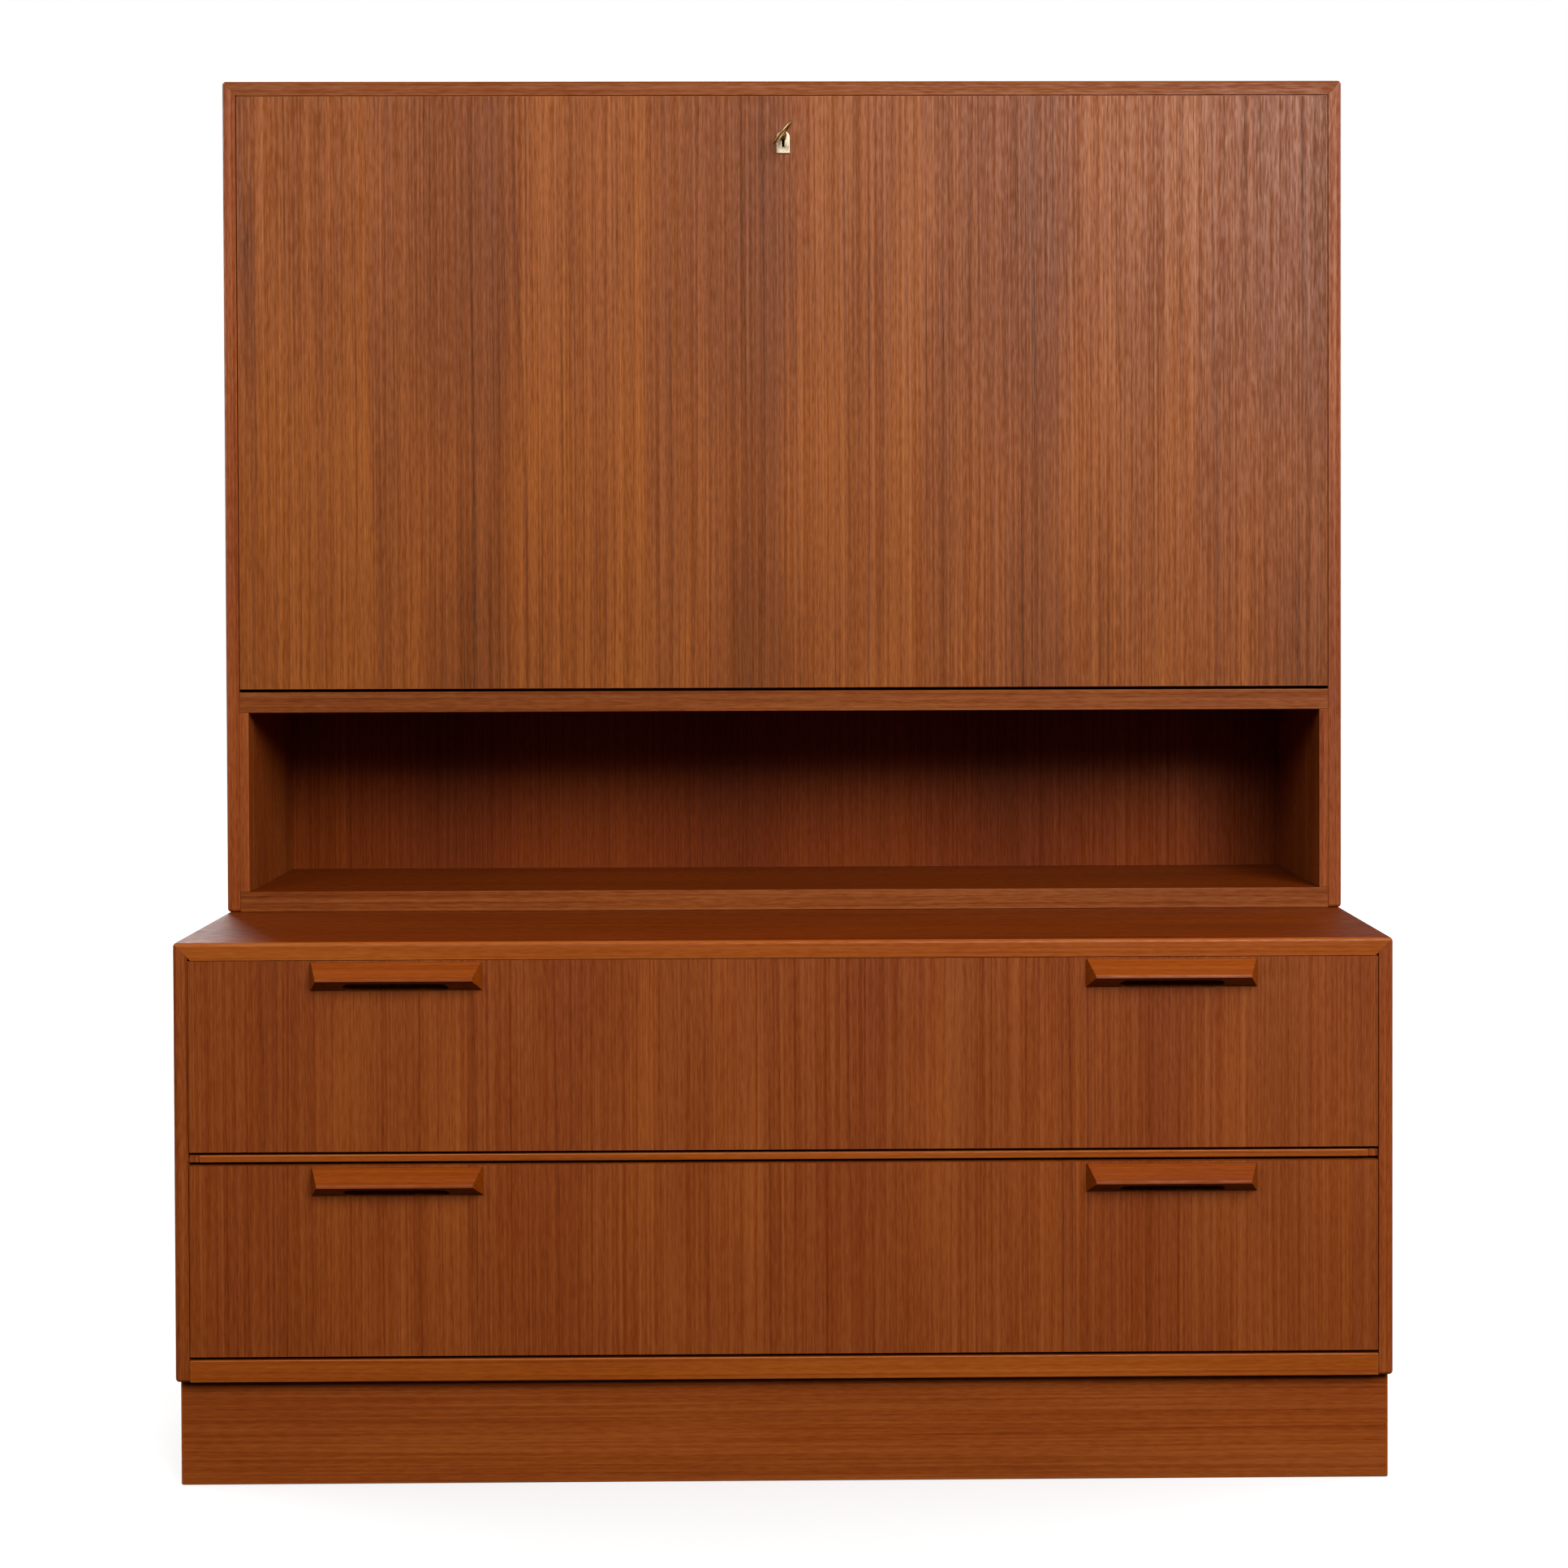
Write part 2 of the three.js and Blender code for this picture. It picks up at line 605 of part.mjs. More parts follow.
// Floor board, uprights and shelves of the writing compartment, behind the flap.
function makeFitment(parent) {
  const rear = UPPER_INNER_DEPTH;
  const ceiling = UPPER_HEIGHT - SIDE_THICKNESS - GLUE;
  const floor = FLOOR_BOARD_TOP;
  const halfBoard = FITMENT_THICKNESS / 2;
  add(
    parent,
    "desk_floor",
    teakVeneer,
    box(centred(INNER - GLUE), [SWEEP_SHOULDER, rear], [SHELF_TOP + GLUE, floor]),
  );
  const depth = [FITMENT_SETBACK, rear];
  const shelf = (name, xSpan, rise) =>
    add(parent, name, teakVeneer, box(xSpan, depth, centredAt(floor + rise, halfBoard)));
  for (const [side, label] of SIDES) {
    const x = side * UPRIGHT_OFFSET;
    const board = box(centredAt(x, halfBoard), depth, [floor + GLUE, ceiling]);
    add(parent, `fitment_upright_${label}`, teakVeneer, board);
    const bay = outwards(side, UPRIGHT_OFFSET + halfBoard + GLUE, INNER - GLUE);
    shelf(`fitment_shelf_${label}`, bay, SIDE_SHELF_RISE);
  }
  shelf("fitment_shelf_centre", centred(UPRIGHT_OFFSET - halfBoard - GLUE), CENTRE_SHELF_RISE);
}

// The plates and studs on the cabinet's sides that carry the flap and its stays.
function makeFlapFittings(parent) {
  for (const [side, label] of SIDES) {
    const plate = box(
      outwards(side, LIP_WALL, LIP_WALL + PIVOT_PLATE.thickness),
      centredAt(PIVOT.y, PIVOT_PLATE.width / 2),
      [PIVOT.z - PIVOT_PLATE.below, PIVOT.z - PIVOT_PLATE.below + PIVOT_PLATE.length],
    );
    const pinEnd = FRONT_HALF_WIDTH - PIVOT_PLATE.thickness + PIN_CLEARANCE;
    const pin = rodX(
      PIVOT_PIN_RADIUS,
      outwards(side, pinEnd, LIP_WALL + OVERSHOOT),
      PIVOT.y,
      PIVOT.z,
    );
    add(parent, `pivot_plate_${label}`, brass, join(plate, pin));

    const arm = stayArmSpan();
    const y = PIVOT.y + STAY_STUD.y;
    const z = PIVOT.z + STAY_STUD.z;
    const headRadius = 2 * STAY_STUD_RADIUS;
    const flange = rodX(headRadius + 1, outwards(side, INNER - 2, INNER - GLUE), y, z);
    const shank = rodX(STAY_STUD_RADIUS, outwards(side, arm.inner - 2, INNER - 1), y, z);
    const head = rodX(headRadius, outwards(side, arm.inner - 3, arm.inner - 1.4), y, z);
    add(parent, `stay_stud_${label}`, brass, join(flange, shank, head));
  }
}

function stayArmSpan() {
  const outer = INNER - STAY_ARM.fromSide;
  return { inner: outer - STAY_ARM.thickness, outer };
}

// ---- Flap ---------------------------------------------------------------------------------

// Places inside the flap's group, whose origin is on the pivots' axis.
const FLAP = {
  face: -PIVOT_INSET,
  inside: FRONT_THICKNESS - PIVOT_INSET,
  bottom: FLAP_BOTTOM - PIVOT.z,
  top: FLAP_TOP - PIVOT.z,
};
const KEY_Z = FLAP.top - KEY_BELOW_FLAP_TOP;

// The middle of the lock's bolt, from front to back.
function lockMiddleY() {
  return FRONT_THICKNESS - PIVOT_INSET - LOCK_CASE.depth / 2;
}

// A keyhole: a round hole for the shaft with a slot below it for the bit.
function keyhole(radius, slotHalf, slotDrop, yRange) {
  const slot = box(centred(slotHalf), yRange, [KEY_Z - slotDrop, KEY_Z]);
  return join(rodY(radius, 0, yRange, KEY_Z), slot);
}

function makeFlap(parent) {
  const flap = groupAt(parent, 0, PIVOT.y, PIVOT.z);
  const plateZ = [-PIVOT_PLATE.below, PIVOT_PLATE.length - PIVOT_PLATE.below];
  const mortiseZ = [plateZ[0] - GLUE, plateZ[1] + GLUE];
  const plateMortises = SIDES.map(([side]) =>
    box(
      outwards(
        side,
        FRONT_HALF_WIDTH - PIVOT_PLATE.thickness - GLUE,
        FRONT_HALF_WIDTH + OVERSHOOT,
      ),
      centred(PIVOT_PLATE.width / 2 + GLUE),
      mortiseZ,
    ),
  );
  const caseBack = FLAP.inside - LOCK_CASE.depth;
  const lockMortise = box(
    centred(LOCK_CASE.width / 2 + GLUE),
    [caseBack - GLUE, FLAP.inside + OVERSHOOT],
    [KEY_Z - LOCK_CASE.below - GLUE, FLAP.top + OVERSHOOT],
  );
  const keyPassage = keyhole(3.5, 1.8, 10, [FLAP.face - OVERSHOOT, caseBack + OVERSHOOT]);
  const panel = box(
    centred(FRONT_HALF_WIDTH),
    [FLAP.face, FLAP.inside],
    [FLAP.bottom, FLAP.top],
  );
  add(flap, "flap_panel", teakVeneer, cut(panel, ...plateMortises, lockMortise, keyPassage));

  for (const [side, label] of SIDES) {
    const plate = box(
      outwards(side, FRONT_HALF_WIDTH - PIVOT_PLATE.thickness, FRONT_HALF_WIDTH),
      centred(PIVOT_PLATE.width / 2),
      plateZ,
    );
    const eye = rodX(
      PIVOT_PIN_RADIUS + PIN_CLEARANCE,
      outwards(side, FRONT_HALF_WIDTH - 2 * PIVOT_PLATE.thickness, LIP_WALL),
      0,
      0,
    );
    add(flap, `flap_plate_${label}`, brass, cut(plate, eye));
    add(flap, `stay_bracket_${label}`, brass, stayBracket(side));
    makeStayArm(flap, side, label);
  }
  makeLock(flap);
}

// An angle bracket on the flap's inner face, with a riveted pin for the stay arm.
function stayBracket(side) {
  const arm = stayArmSpan();
  const sheet = 2;
  const foot = 20;
  const tall = 17;
  const ear = outwards(side, arm.outer + 1, arm.outer + 1 + sheet);
  const onFlap = [FLAP.inside + GLUE, FLAP.inside + sheet];
  const footPlate = box(
    outwards(side, arm.outer + 1 + sheet - foot, arm.outer + 1 + sheet),
    onFlap,
    centredAt(STAY_PIN.z, tall),
  );
  const earPlate = box(
    ear,
    [FLAP.inside + GLUE, STAY_PIN.y + STAY_ARM.width / 2],
    centredAt(STAY_PIN.z, STAY_ARM.width / 2 + 1),
  );
  const pin = rodX(
    STAY_PIN_RADIUS,
    outwards(side, arm.inner - 1.4, arm.outer + 2),
    STAY_PIN.y,
    STAY_PIN.z,
  );
  const rivet = rodX(
    STAY_PIN_RADIUS + 1.8,
    outwards(side, arm.inner - 2, arm.inner - 0.6),
    STAY_PIN.y,
    STAY_PIN.z,
  );
  return join(footPlate, earPlate, pin, rivet);
}

// A slotted brass arm, hung on the flap bracket's pin. It slides over the stud on the side.
function makeStayArm(flap, side, label) {
  const closedReach = Math.hypot(STAY_STUD.y - STAY_PIN.y, STAY_STUD.z - STAY_PIN.z);
  const openReach = stayArmLength - STAY_ARM.endMargin;
  const half = STAY_ARM.width / 2;
  const shape = new THREE.Shape();
  shape.absarc(0, 0, half, Math.PI / 2, (3 * Math.PI) / 2, false);
  shape.absarc(stayArmLength - half, 0, half, -Math.PI / 2, Math.PI / 2, false);

  const eye = new THREE.Path();
  eye.absarc(0, 0, STAY_PIN_RADIUS + PIN_CLEARANCE, 0, 2 * Math.PI, true);
  const slotHalf = STAY_STUD_RADIUS + PIN_CLEARANCE;
  const slotStart = closedReach - STAY_ARM.slotMargin + slotHalf;
  const slot = new THREE.Path();
  slot.absarc(slotStart, 0, slotHalf, -Math.PI / 2, Math.PI / 2, true);
  slot.absarc(openReach, 0, slotHalf, Math.PI / 2, -Math.PI / 2, true);
  shape.holes.push(eye, slot);

  const arm = stayArmSpan();
  const mesh = add(flap, `stay_arm_${label}`, brass, alongX(shape, outwards(side, arm.inner, arm.outer)));
  mesh.position.set(0, STAY_PIN.y, STAY_PIN.z);
  mesh.rotation.x = Math.atan2(STAY_STUD.z - STAY_PIN.z, STAY_STUD.y - STAY_PIN.y);
}

// ---- Lock ---------------------------------------------------------------------------------

function makeLock(flap) {
  const { width, depth, below, wall } = LOCK_CASE;
  const caseFront = FLAP.inside - depth;
  const caseTop = FLAP.top - GLUE;
  const caseBottom = KEY_Z - below;
  const outside = box(centred(width / 2), [caseFront, FLAP.inside], [caseBottom, caseTop]);
  const cavity = box(
    centred(width / 2 - wall),
    [caseFront + wall, FLAP.inside - wall],
    [caseBottom + wall, caseTop - wall],
  );
  const middleY = lockMiddleY();
  const boltSlot = box(
    centred(BOLT.width / 2 + PIN_CLEARANCE),
    centredAt(middleY, BOLT.thickness / 2 + PIN_CLEARANCE),
    [caseTop - 2 * wall, caseTop + OVERSHOOT],
  );
  const keyEntry = keyhole(2.8, 1.4, 9.5, [caseFront - OVERSHOOT, caseFront + 2 * wall]);
  add(flap, "lock_case", steel, cut(outside, cavity, boltSlot, keyEntry));

  const boltTop = FLAP.top - BOLT.down;
  add(
    flap,
    "lock_bolt",
    brass,
    box(centred(BOLT.width / 2), centredAt(middleY, BOLT.thickness / 2), [
      boltTop - BOLT.height,
      boltTop,
    ]),
  );

  const { radius, tail, thickness } = ESCUTCHEON;
  const shape = new THREE.Shape();
  shape.moveTo(radius, -tail);
  shape.lineTo(radius, 0);
  shape.absarc(0, 0, radius, 0, Math.PI, false);
  shape.lineTo(-radius, -tail);
  shape.closePath();
  const plateY = [FLAP.face - thickness, FLAP.face - GLUE];
  const plate = alongY(shape, plateY).translate(0, 0, KEY_Z);
  const opening = keyhole(2.8, 1.4, 9, [plateY[0] - OVERSHOOT, plateY[1] + OVERSHOOT]);
  add(flap, "escutcheon", brass, cut(plate, opening));
  makeKey(flap);
}

// A key with an oval bow, in the lock. Its own frame has the bow upright and the bit down.
function makeKey(flap) {
  const bitTip = FLAP.inside - LOCK_CASE.wall - 1;
  const shaftOut = FLAP.face - 20;
  const bow = { halfLength: 10, halfWidth: 15, ring: 3.6, thickness: 2.6 };
  const bowY = shaftOut - bow.halfLength + 1;
  const oval = new THREE.Shape();
  oval.absellipse(bowY, 0, bow.halfLength, bow.halfWidth, 0, 2 * Math.PI, false);
  const eye = new THREE.Path();
  const eyeLength = bow.halfLength - bow.ring;
  const eyeWidth = bow.halfWidth - bow.ring;
  eye.absellipse(bowY, 0, eyeLength, eyeWidth, 0, 2 * Math.PI, true);
  oval.holes.push(eye);
  const key = join(
    alongX(oval, centred(bow.thickness / 2)),
    rodY(KEY_SHAFT_RADIUS, 0, [shaftOut - 1.5, bitTip], 0),
    rodY(KEY_SHAFT_RADIUS + 1.4, 0, [shaftOut, shaftOut + 4], 0),
    rodY(KEY_SHAFT_RADIUS + 0.9, 0, [FLAP.face - 5, FLAP.face - 3.4], 0),
    box(centred(0.9), [bitTip - 4.5, bitTip], [-8, 0]),
  );
  const mesh = add(flap, "key", brass, key);
  mesh.position.set(0, 0, KEY_Z);
  mesh.rotation.y = THREE.MathUtils.degToRad(KEY_TILT);
}

// ---- Assembly -----------------------------------------------------------------------------

const desk = new THREE.Group();

const plinth = groupAt(desk, 0, BACK_Y - BASE_DEPTH, 0);
makePlinth(plinth);

const base = groupAt(desk, 0, BACK_Y - BASE_DEPTH, PLINTH_HEIGHT);
makeBaseCarcass(base);
for (const [name, z] of [
  ["upper_drawer", UPPER_DRAWER_Z],
  ["lower_drawer", LOWER_DRAWER_Z],
]) {
  makeDrawer(base, name, z);
  makeRunners(base, name, z);
}

const upper = groupAt(desk, 0, BACK_Y - UPPER_DEPTH, PLINTH_HEIGHT + BASE_HEIGHT);
makeUpperCarcass(upper);
makeFitment(upper);
makeFlapFittings(upper);
makeFlap(upper);

export default desk;
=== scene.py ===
import json
import math

import bmesh
import bpy
from mathutils import Matrix, Vector


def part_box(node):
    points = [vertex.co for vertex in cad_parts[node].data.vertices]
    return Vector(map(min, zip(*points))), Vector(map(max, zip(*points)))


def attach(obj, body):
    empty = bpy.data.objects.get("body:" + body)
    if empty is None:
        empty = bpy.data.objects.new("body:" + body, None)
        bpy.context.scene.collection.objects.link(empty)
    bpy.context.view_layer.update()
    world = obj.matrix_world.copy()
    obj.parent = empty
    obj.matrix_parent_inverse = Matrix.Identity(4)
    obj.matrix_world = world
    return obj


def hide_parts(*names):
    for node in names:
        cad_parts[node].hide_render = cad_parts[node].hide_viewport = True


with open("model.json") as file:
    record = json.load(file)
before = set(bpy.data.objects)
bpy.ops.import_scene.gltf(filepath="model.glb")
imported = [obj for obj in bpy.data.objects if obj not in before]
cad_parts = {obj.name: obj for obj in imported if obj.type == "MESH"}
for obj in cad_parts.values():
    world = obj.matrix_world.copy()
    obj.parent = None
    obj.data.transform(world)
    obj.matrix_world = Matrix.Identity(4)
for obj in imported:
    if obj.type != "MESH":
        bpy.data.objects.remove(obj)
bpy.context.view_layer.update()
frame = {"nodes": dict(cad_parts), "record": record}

# ---- Camera, floor and light ----------------------------------------------------------------
# The desk stands on a pale studio floor. A wide soft light in front of it stands high enough to
# leave the niche dark towards its ceiling, and a small one puts a sheen on the flap's upper right.
# Weaker ones light its sides and its back.

MM = 0.001


def linear(hex_colour):
    """An sRGB hex colour as linear RGBA."""
    channels = [int(hex_colour[i : i + 2], 16) / 255 for i in (1, 3, 5)]
    return [c / 12.92 if c <= 0.04045 else ((c + 0.055) / 1.055) ** 2.4 for c in channels] + [1]


def add_node(tree, kind, inputs=None, **settings):
    """Adds a node, sets its properties, and sets or links its inputs."""
    node = tree.nodes.new(kind)
    for name, value in settings.items():
        setattr(node, name, value)
    for key, value in (inputs or {}).items():
        if isinstance(value, bpy.types.NodeSocket):
            tree.links.new(value, node.inputs[key])
        else:
            node.inputs[key].default_value = value
    return node


CAMERA_FROM_CENTRE = 15.6 * MM
CAMERA_FROM_FRONT = 2262 * MM
CAMERA_HEIGHT = 806 * MM
CAMERA_TURN = (-0.0109, -0.0152, -0.0032)  # radians: to the left, upwards, and about its own axis

camera_data = bpy.data.cameras.new("camera")
camera_data.sensor_width = 36
camera_data.lens = 57.77
camera_data.shift_x = -0.0281
camera_data.shift_y = -0.097
camera = bpy.data.objects.new("camera", camera_data)
bpy.context.scene.collection.objects.link(camera)
base_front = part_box("base_side_left")[0].y
level = Matrix.Rotation(math.pi / 2 + CAMERA_TURN[1], 4, "X")
turned = Matrix.Rotation(CAMERA_TURN[0], 4, "Z") @ level @ Matrix.Rotation(CAMERA_TURN[2], 4, "Z")
stand = Matrix.Translation((CAMERA_FROM_CENTRE, base_front - CAMERA_FROM_FRONT, CAMERA_HEIGHT))
camera.matrix_world = stand @ turned
bpy.context.scene.camera = camera
bpy.context.scene.view_settings.view_transform = "Standard"

FLOOR_RADIUS = 14
SHADE_STARTS = 250 * MM  # from the desk's middle
SHADE_ENDS = 1900 * MM

floor_mesh = bpy.data.meshes.new("studio_floor")
floor_bm = bmesh.new()
bmesh.ops.create_circle(floor_bm, cap_ends=True, segments=96, radius=FLOOR_RADIUS)
floor_bm.to_mesh(floor_mesh)
floor_bm.free()
floor = bpy.data.objects.new("studio_floor", floor_mesh)
bpy.context.scene.collection.objects.link(floor)
floor.visible_diffuse = False
floor.visible_glossy = False
# Matt white paper that glows: evenly white far away, and glowing less near the desk,
# where the dimmer glow adds painted shade to the faint real shadow.
floor_paper = bpy.data.materials.new("matt white paper")
floor_paper.use_nodes = True
paper_tree = floor_paper.node_tree
paper_shader = paper_tree.nodes["Principled BSDF"]
paper_place = add_node(paper_tree, "ShaderNodeTexCoord").outputs["Object"]
paper_distance = add_node(paper_tree, "ShaderNodeVectorMath", {0: paper_place}, operation="LENGTH")
paper_glow = add_node(
    paper_tree,
    "ShaderNodeMapRange",
    {
        "Value": paper_distance.outputs["Value"],
        "From Min": SHADE_STARTS,
        "From Max": SHADE_ENDS,
        "To Min": 0.58,
        "To Max": 1.0,
    },
    interpolation_type="SMOOTHSTEP",
)
paper_shader.inputs["Base Color"].default_value = linear("#a6a6a6")
paper_shader.inputs["Roughness"].default_value = 0.9
paper_shader.inputs["Specular IOR Level"].default_value = 0.1
paper_shader.inputs["Emission Color"].default_value = linear("#ffffff")
paper_tree.links.new(paper_glow.outputs["Result"], paper_shader.inputs["Emission Strength"])
floor_mesh.materials.append(floor_paper)


def softbox(name, place, target, size, power):
    """A rectangular soft light that the camera doesn't see."""
    data = bpy.data.lights.new(name, "AREA")
    data.shape = "RECTANGLE"
    data.size, data.size_y = size
    data.energy = power
    light = bpy.data.objects.new(name, data)
    light.location = place
    light.rotation_euler = (Vector(target) - Vector(place)).to_track_quat("-Z", "Y").to_euler()
    light.visible_camera = False
    bpy.context.scene.collection.objects.link(light)


softbox("key_softbox", (1.4, -3.3, 2.9), (0.15, 0, 0.75), (2.4, 2.2), 152)
softbox("fill_softbox", (-1.9, -3.2, 2.6), (0, 0, 0.75), (1.8, 1.6), 48)
softbox("right_strip", (1.5, -2.9, 1.95), (0.5, 0.2, 1.15), (0.7, 1.0), 32)
softbox("left_softbox", (-3.4, 0.5, 1.8), (0, 0.1, 0.6), (1.8, 1.4), 60)
softbox("right_softbox", (3.4, 0.5, 1.8), (0, 0.1, 0.6), (1.8, 1.4), 60)
softbox("back_softbox", (-0.8, 3.4, 2.4), (0, 0, 0.7), (2.4, 1.6), 110)

# A dim room, paler above. The backdrop behind the desk shows only as sheen on its level faces.
world = bpy.data.worlds.new("studio")
world.use_nodes = True
bpy.context.scene.world = world
sky = world.node_tree
sky.nodes.clear()
direction = add_node(sky, "ShaderNodeTexCoord").outputs["Generated"]
axes = add_node(sky, "ShaderNodeSeparateXYZ", {0: direction})
height = add_node(
    sky,
    "ShaderNodeMapRange",
    {"Value": axes.outputs["Z"], "From Min": -0.1, "From Max": 0.6, "To Min": 0.03, "To Max": 0.19},
    interpolation_type="SMOOTHSTEP",
)
behind = add_node(
    sky,
    "ShaderNodeMapRange",
    {"Value": axes.outputs["Y"], "From Min": 0.1, "From Max": 0.7, "To Min": 0, "To Max": 0.2},
    interpolation_type="SMOOTHSTEP",
)
rays = add_node(sky, "ShaderNodeLightPath")
backdrop = add_node(
    sky,
    "ShaderNodeMath",
    {0: behind.outputs["Result"], 1: rays.outputs["Is Glossy Ray"]},
    operation="MULTIPLY",
)
lit = add_node(
    sky,
    "ShaderNodeMath",
    {0: height.outputs["Result"], 1: backdrop.outputs[0]},
    operation="ADD",
)
strength = add_node(
    sky,
    "ShaderNodeMix",
    {0: rays.outputs["Is Camera Ray"], 2: lit.outputs[0], 3: 1.0},
)
shine = add_node(sky, "ShaderNodeBackground", {0: linear("#ffffff"), 1: strength.outputs[0]})
add_node(sky, "ShaderNodeOutputWorld", {0: shine.outputs[0]})

# ---- Plinth ---------------------------------------------------------------------------------
# A frame of solid boards, glued and dowelled, set back under the base cabinet. The three boards
# that show are teak with the grain running along them, and the rear one is beech.

# The figure is drawn along Z, and these turns lay it along the other axes.
GRAIN_TURNS = {
    "X": (0, math.pi / 2, 0),
    "Y": (math.pi / 2, 0, 0),
    "Z": (0, 0, 0),
}


def new_material(name):
    material = bpy.data.materials.new(name)
    material.use_nodes = True
    material.node_tree.nodes.clear()
    return material, material.node_tree


def set_stops(ramp_node, stops):
    """Puts (place, linear colour) stops on a colour ramp."""
    ramp = ramp_node.color_ramp
    while len(ramp.elements) > 1:
        ramp.elements.remove(ramp.elements[-1])
    ramp.elements[0].position, ramp.elements[0].color = stops[0]
    for place, colour in stops[1:]:
        ramp.elements.new(place).color = colour


# The size of one feature of the grain, across and along it. Fibres and threads are under 0.5 mm
# wide in the wood, and are drawn coarser so that they show.
GROWTH_BAND = (16 * MM, 1600 * MM)
STREAK = (3.2 * MM, 500 * MM)
FIBRE = (1.4 * MM, 14 * MM)
THREAD = (2 * MM, 500 * MM)
MOTTLE = (70 * MM, 350 * MM)
GREY_BAND = (55 * MM, 900 * MM)
WANDER = (120 * MM, 600 * MM)
WANDER_REACH = 14 * MM
LINE_SPACING = 11 * MM
LINE_DRIFT = (42 * MM, 2200 * MM)
LINE_FADE = (45 * MM, 300 * MM)
LINE_SHARPNESS = 10
LEAF_THICKNESS = 2.5 * MM  # between matching leaves in the log, drawn thicker so that they differ
# Pores are under 0.3 mm wide, and are drawn coarser so that they show.
PORE = (1.1 * MM, 18 * MM)
# Glints are painted highlights: pale dashes in the tone where fibres would catch the light.
PAINTED_GLINT = (1.2 * MM, 18 * MM)
PORES_ABOVE = 0.64  # of the noise's 0 to 1
PAINTED_GLINTS_BELOW = 0.35
SHEEN_SPREAD = 0.06


def wood(name, along, tones, shift=(0, 0, 0), leaf=None, figure=1.0, roughness=0.48, gloss=0.24):
    """Oiled wood, grain along one axis. tones run from dark line to pale fibre, as sRGB hex.

    leaf is (width, start, tone stops) of a slip-matched veneer: each leaf repeats the figure of
    the one before it, and its own tone runs across it as the stops say.
    """
    material, tree = new_material(name)

    def math_node(operation, *values):
        sockets = dict(enumerate(values))
        return add_node(tree, "ShaderNodeMath", sockets, operation=operation).outputs[0]

    def grain(vector, size, detail=2.0):
        """Noise drawn out along the grain, with the size of one feature across and along it."""
        across_grain, along_grain = size
        stretch = (1 / across_grain, 1 / across_grain, 1 / along_grain)
        scaled = add_node(tree, "ShaderNodeMapping", {"Vector": vector, "Scale": stretch})
        noise = {"Vector": scaled.outputs[0], "Scale": 1.0, "Detail": detail}
        return add_node(tree, "ShaderNodeTexNoise", noise).outputs["Fac"]

    coordinates = add_node(tree, "ShaderNodeTexCoord").outputs["Object"]
    turned = add_node(
        tree,
        "ShaderNodeMapping",
        {"Vector": coordinates, "Rotation": GRAIN_TURNS[along], "Location": shift},
    ).outputs[0]
    leaf_tone = 0.0
    if leaf:
        width, start, stops = leaf
        split = add_node(tree, "ShaderNodeSeparateXYZ", {0: turned})
        count = math_node("DIVIDE", math_node("SUBTRACT", split.outputs[0], start), width)
        across = math_node("FRACT", count)
        slice_depth = math_node("MULTIPLY", math_node("FLOOR", count), LEAF_THICKNESS)
        turned = add_node(
            tree,
            "ShaderNodeCombineXYZ",
            {
                0: math_node("MULTIPLY", across, width),
                1: math_node("ADD", split.outputs[1], slice_depth),
                2: split.outputs[2],
            },
        ).outputs[0]
        leaf_ramp = add_node(tree, "ShaderNodeValToRGB", {0: across})
        set_stops(leaf_ramp, [(place, [value] * 3 + [1]) for place, value in stops])
        leaf_tone = math_node("SUBTRACT", leaf_ramp.outputs[0], 0.5)

    wander = math_node("MULTIPLY", math_node("SUBTRACT", grain(turned, WANDER, 1), 0.5), WANDER_REACH)
    bend = add_node(tree, "ShaderNodeCombineXYZ", {0: wander})
    bent = add_node(tree, "ShaderNodeVectorMath", {0: turned, 1: bend.outputs[0]}).outputs[0]
    growth = grain(bent, GROWTH_BAND, 3)
    streak = grain(bent, STREAK, 1)
    fibre = grain(turned, FIBRE, 1)
    thread = grain(turned, THREAD, 1)
    mottle = grain(turned, MOTTLE, 2)
    # Each growth line darkens slowly and ends sharply, and they drift closer and farther apart.
    bent_axes = add_node(tree, "ShaderNodeSeparateXYZ", {0: bent})
    radial = math_node("ADD", bent_axes.outputs[0], math_node("MULTIPLY", bent_axes.outputs[1], 0.6))
    uneven = math_node("MULTIPLY", grain(bent, LINE_DRIFT, 1), 4.0)
    ring = math_node("FRACT", math_node("ADD", math_node("DIVIDE", radial, LINE_SPACING), uneven))
    line = math_node("MULTIPLY", math_node("POWER", ring, LINE_SHARPNESS), grain(turned, LINE_FADE, 1))
    pore = math_node("GREATER_THAN", grain(turned, PORE, 1), PORES_ABOVE)
    painted_glint = math_node("LESS_THAN", grain(turned, PAINTED_GLINT, 1), PAINTED_GLINTS_BELOW)

    tone = math_node("ADD", leaf_tone, 0.54)
    for socket, weight in (
        (growth, 0.22 * figure),
        (streak, 0.24 * figure),
        (fibre, 0.52 * figure),
        (thread, 0.66 * figure),
        (mottle, 0.24),
    ):
        tone = math_node("ADD", tone, math_node("MULTIPLY", math_node("SUBTRACT", socket, 0.5), weight))
    tone = math_node("SUBTRACT", tone, math_node("MULTIPLY", line, 0.5 * figure))
    tone = math_node("SUBTRACT", tone, math_node("MULTIPLY", pore, 0.08 * figure))
    # Painted highlight: the glint dashes lighten the base tone.
    tone = math_node("ADD", tone, math_node("MULTIPLY", painted_glint, 0.06 * figure))
    ramp = add_node(tree, "ShaderNodeValToRGB", {0: tone})
    steps = len(tones) - 1
    set_stops(ramp, [(0.08 + 0.84 * i / steps, linear(tone_hex)) for i, tone_hex in enumerate(tones)])
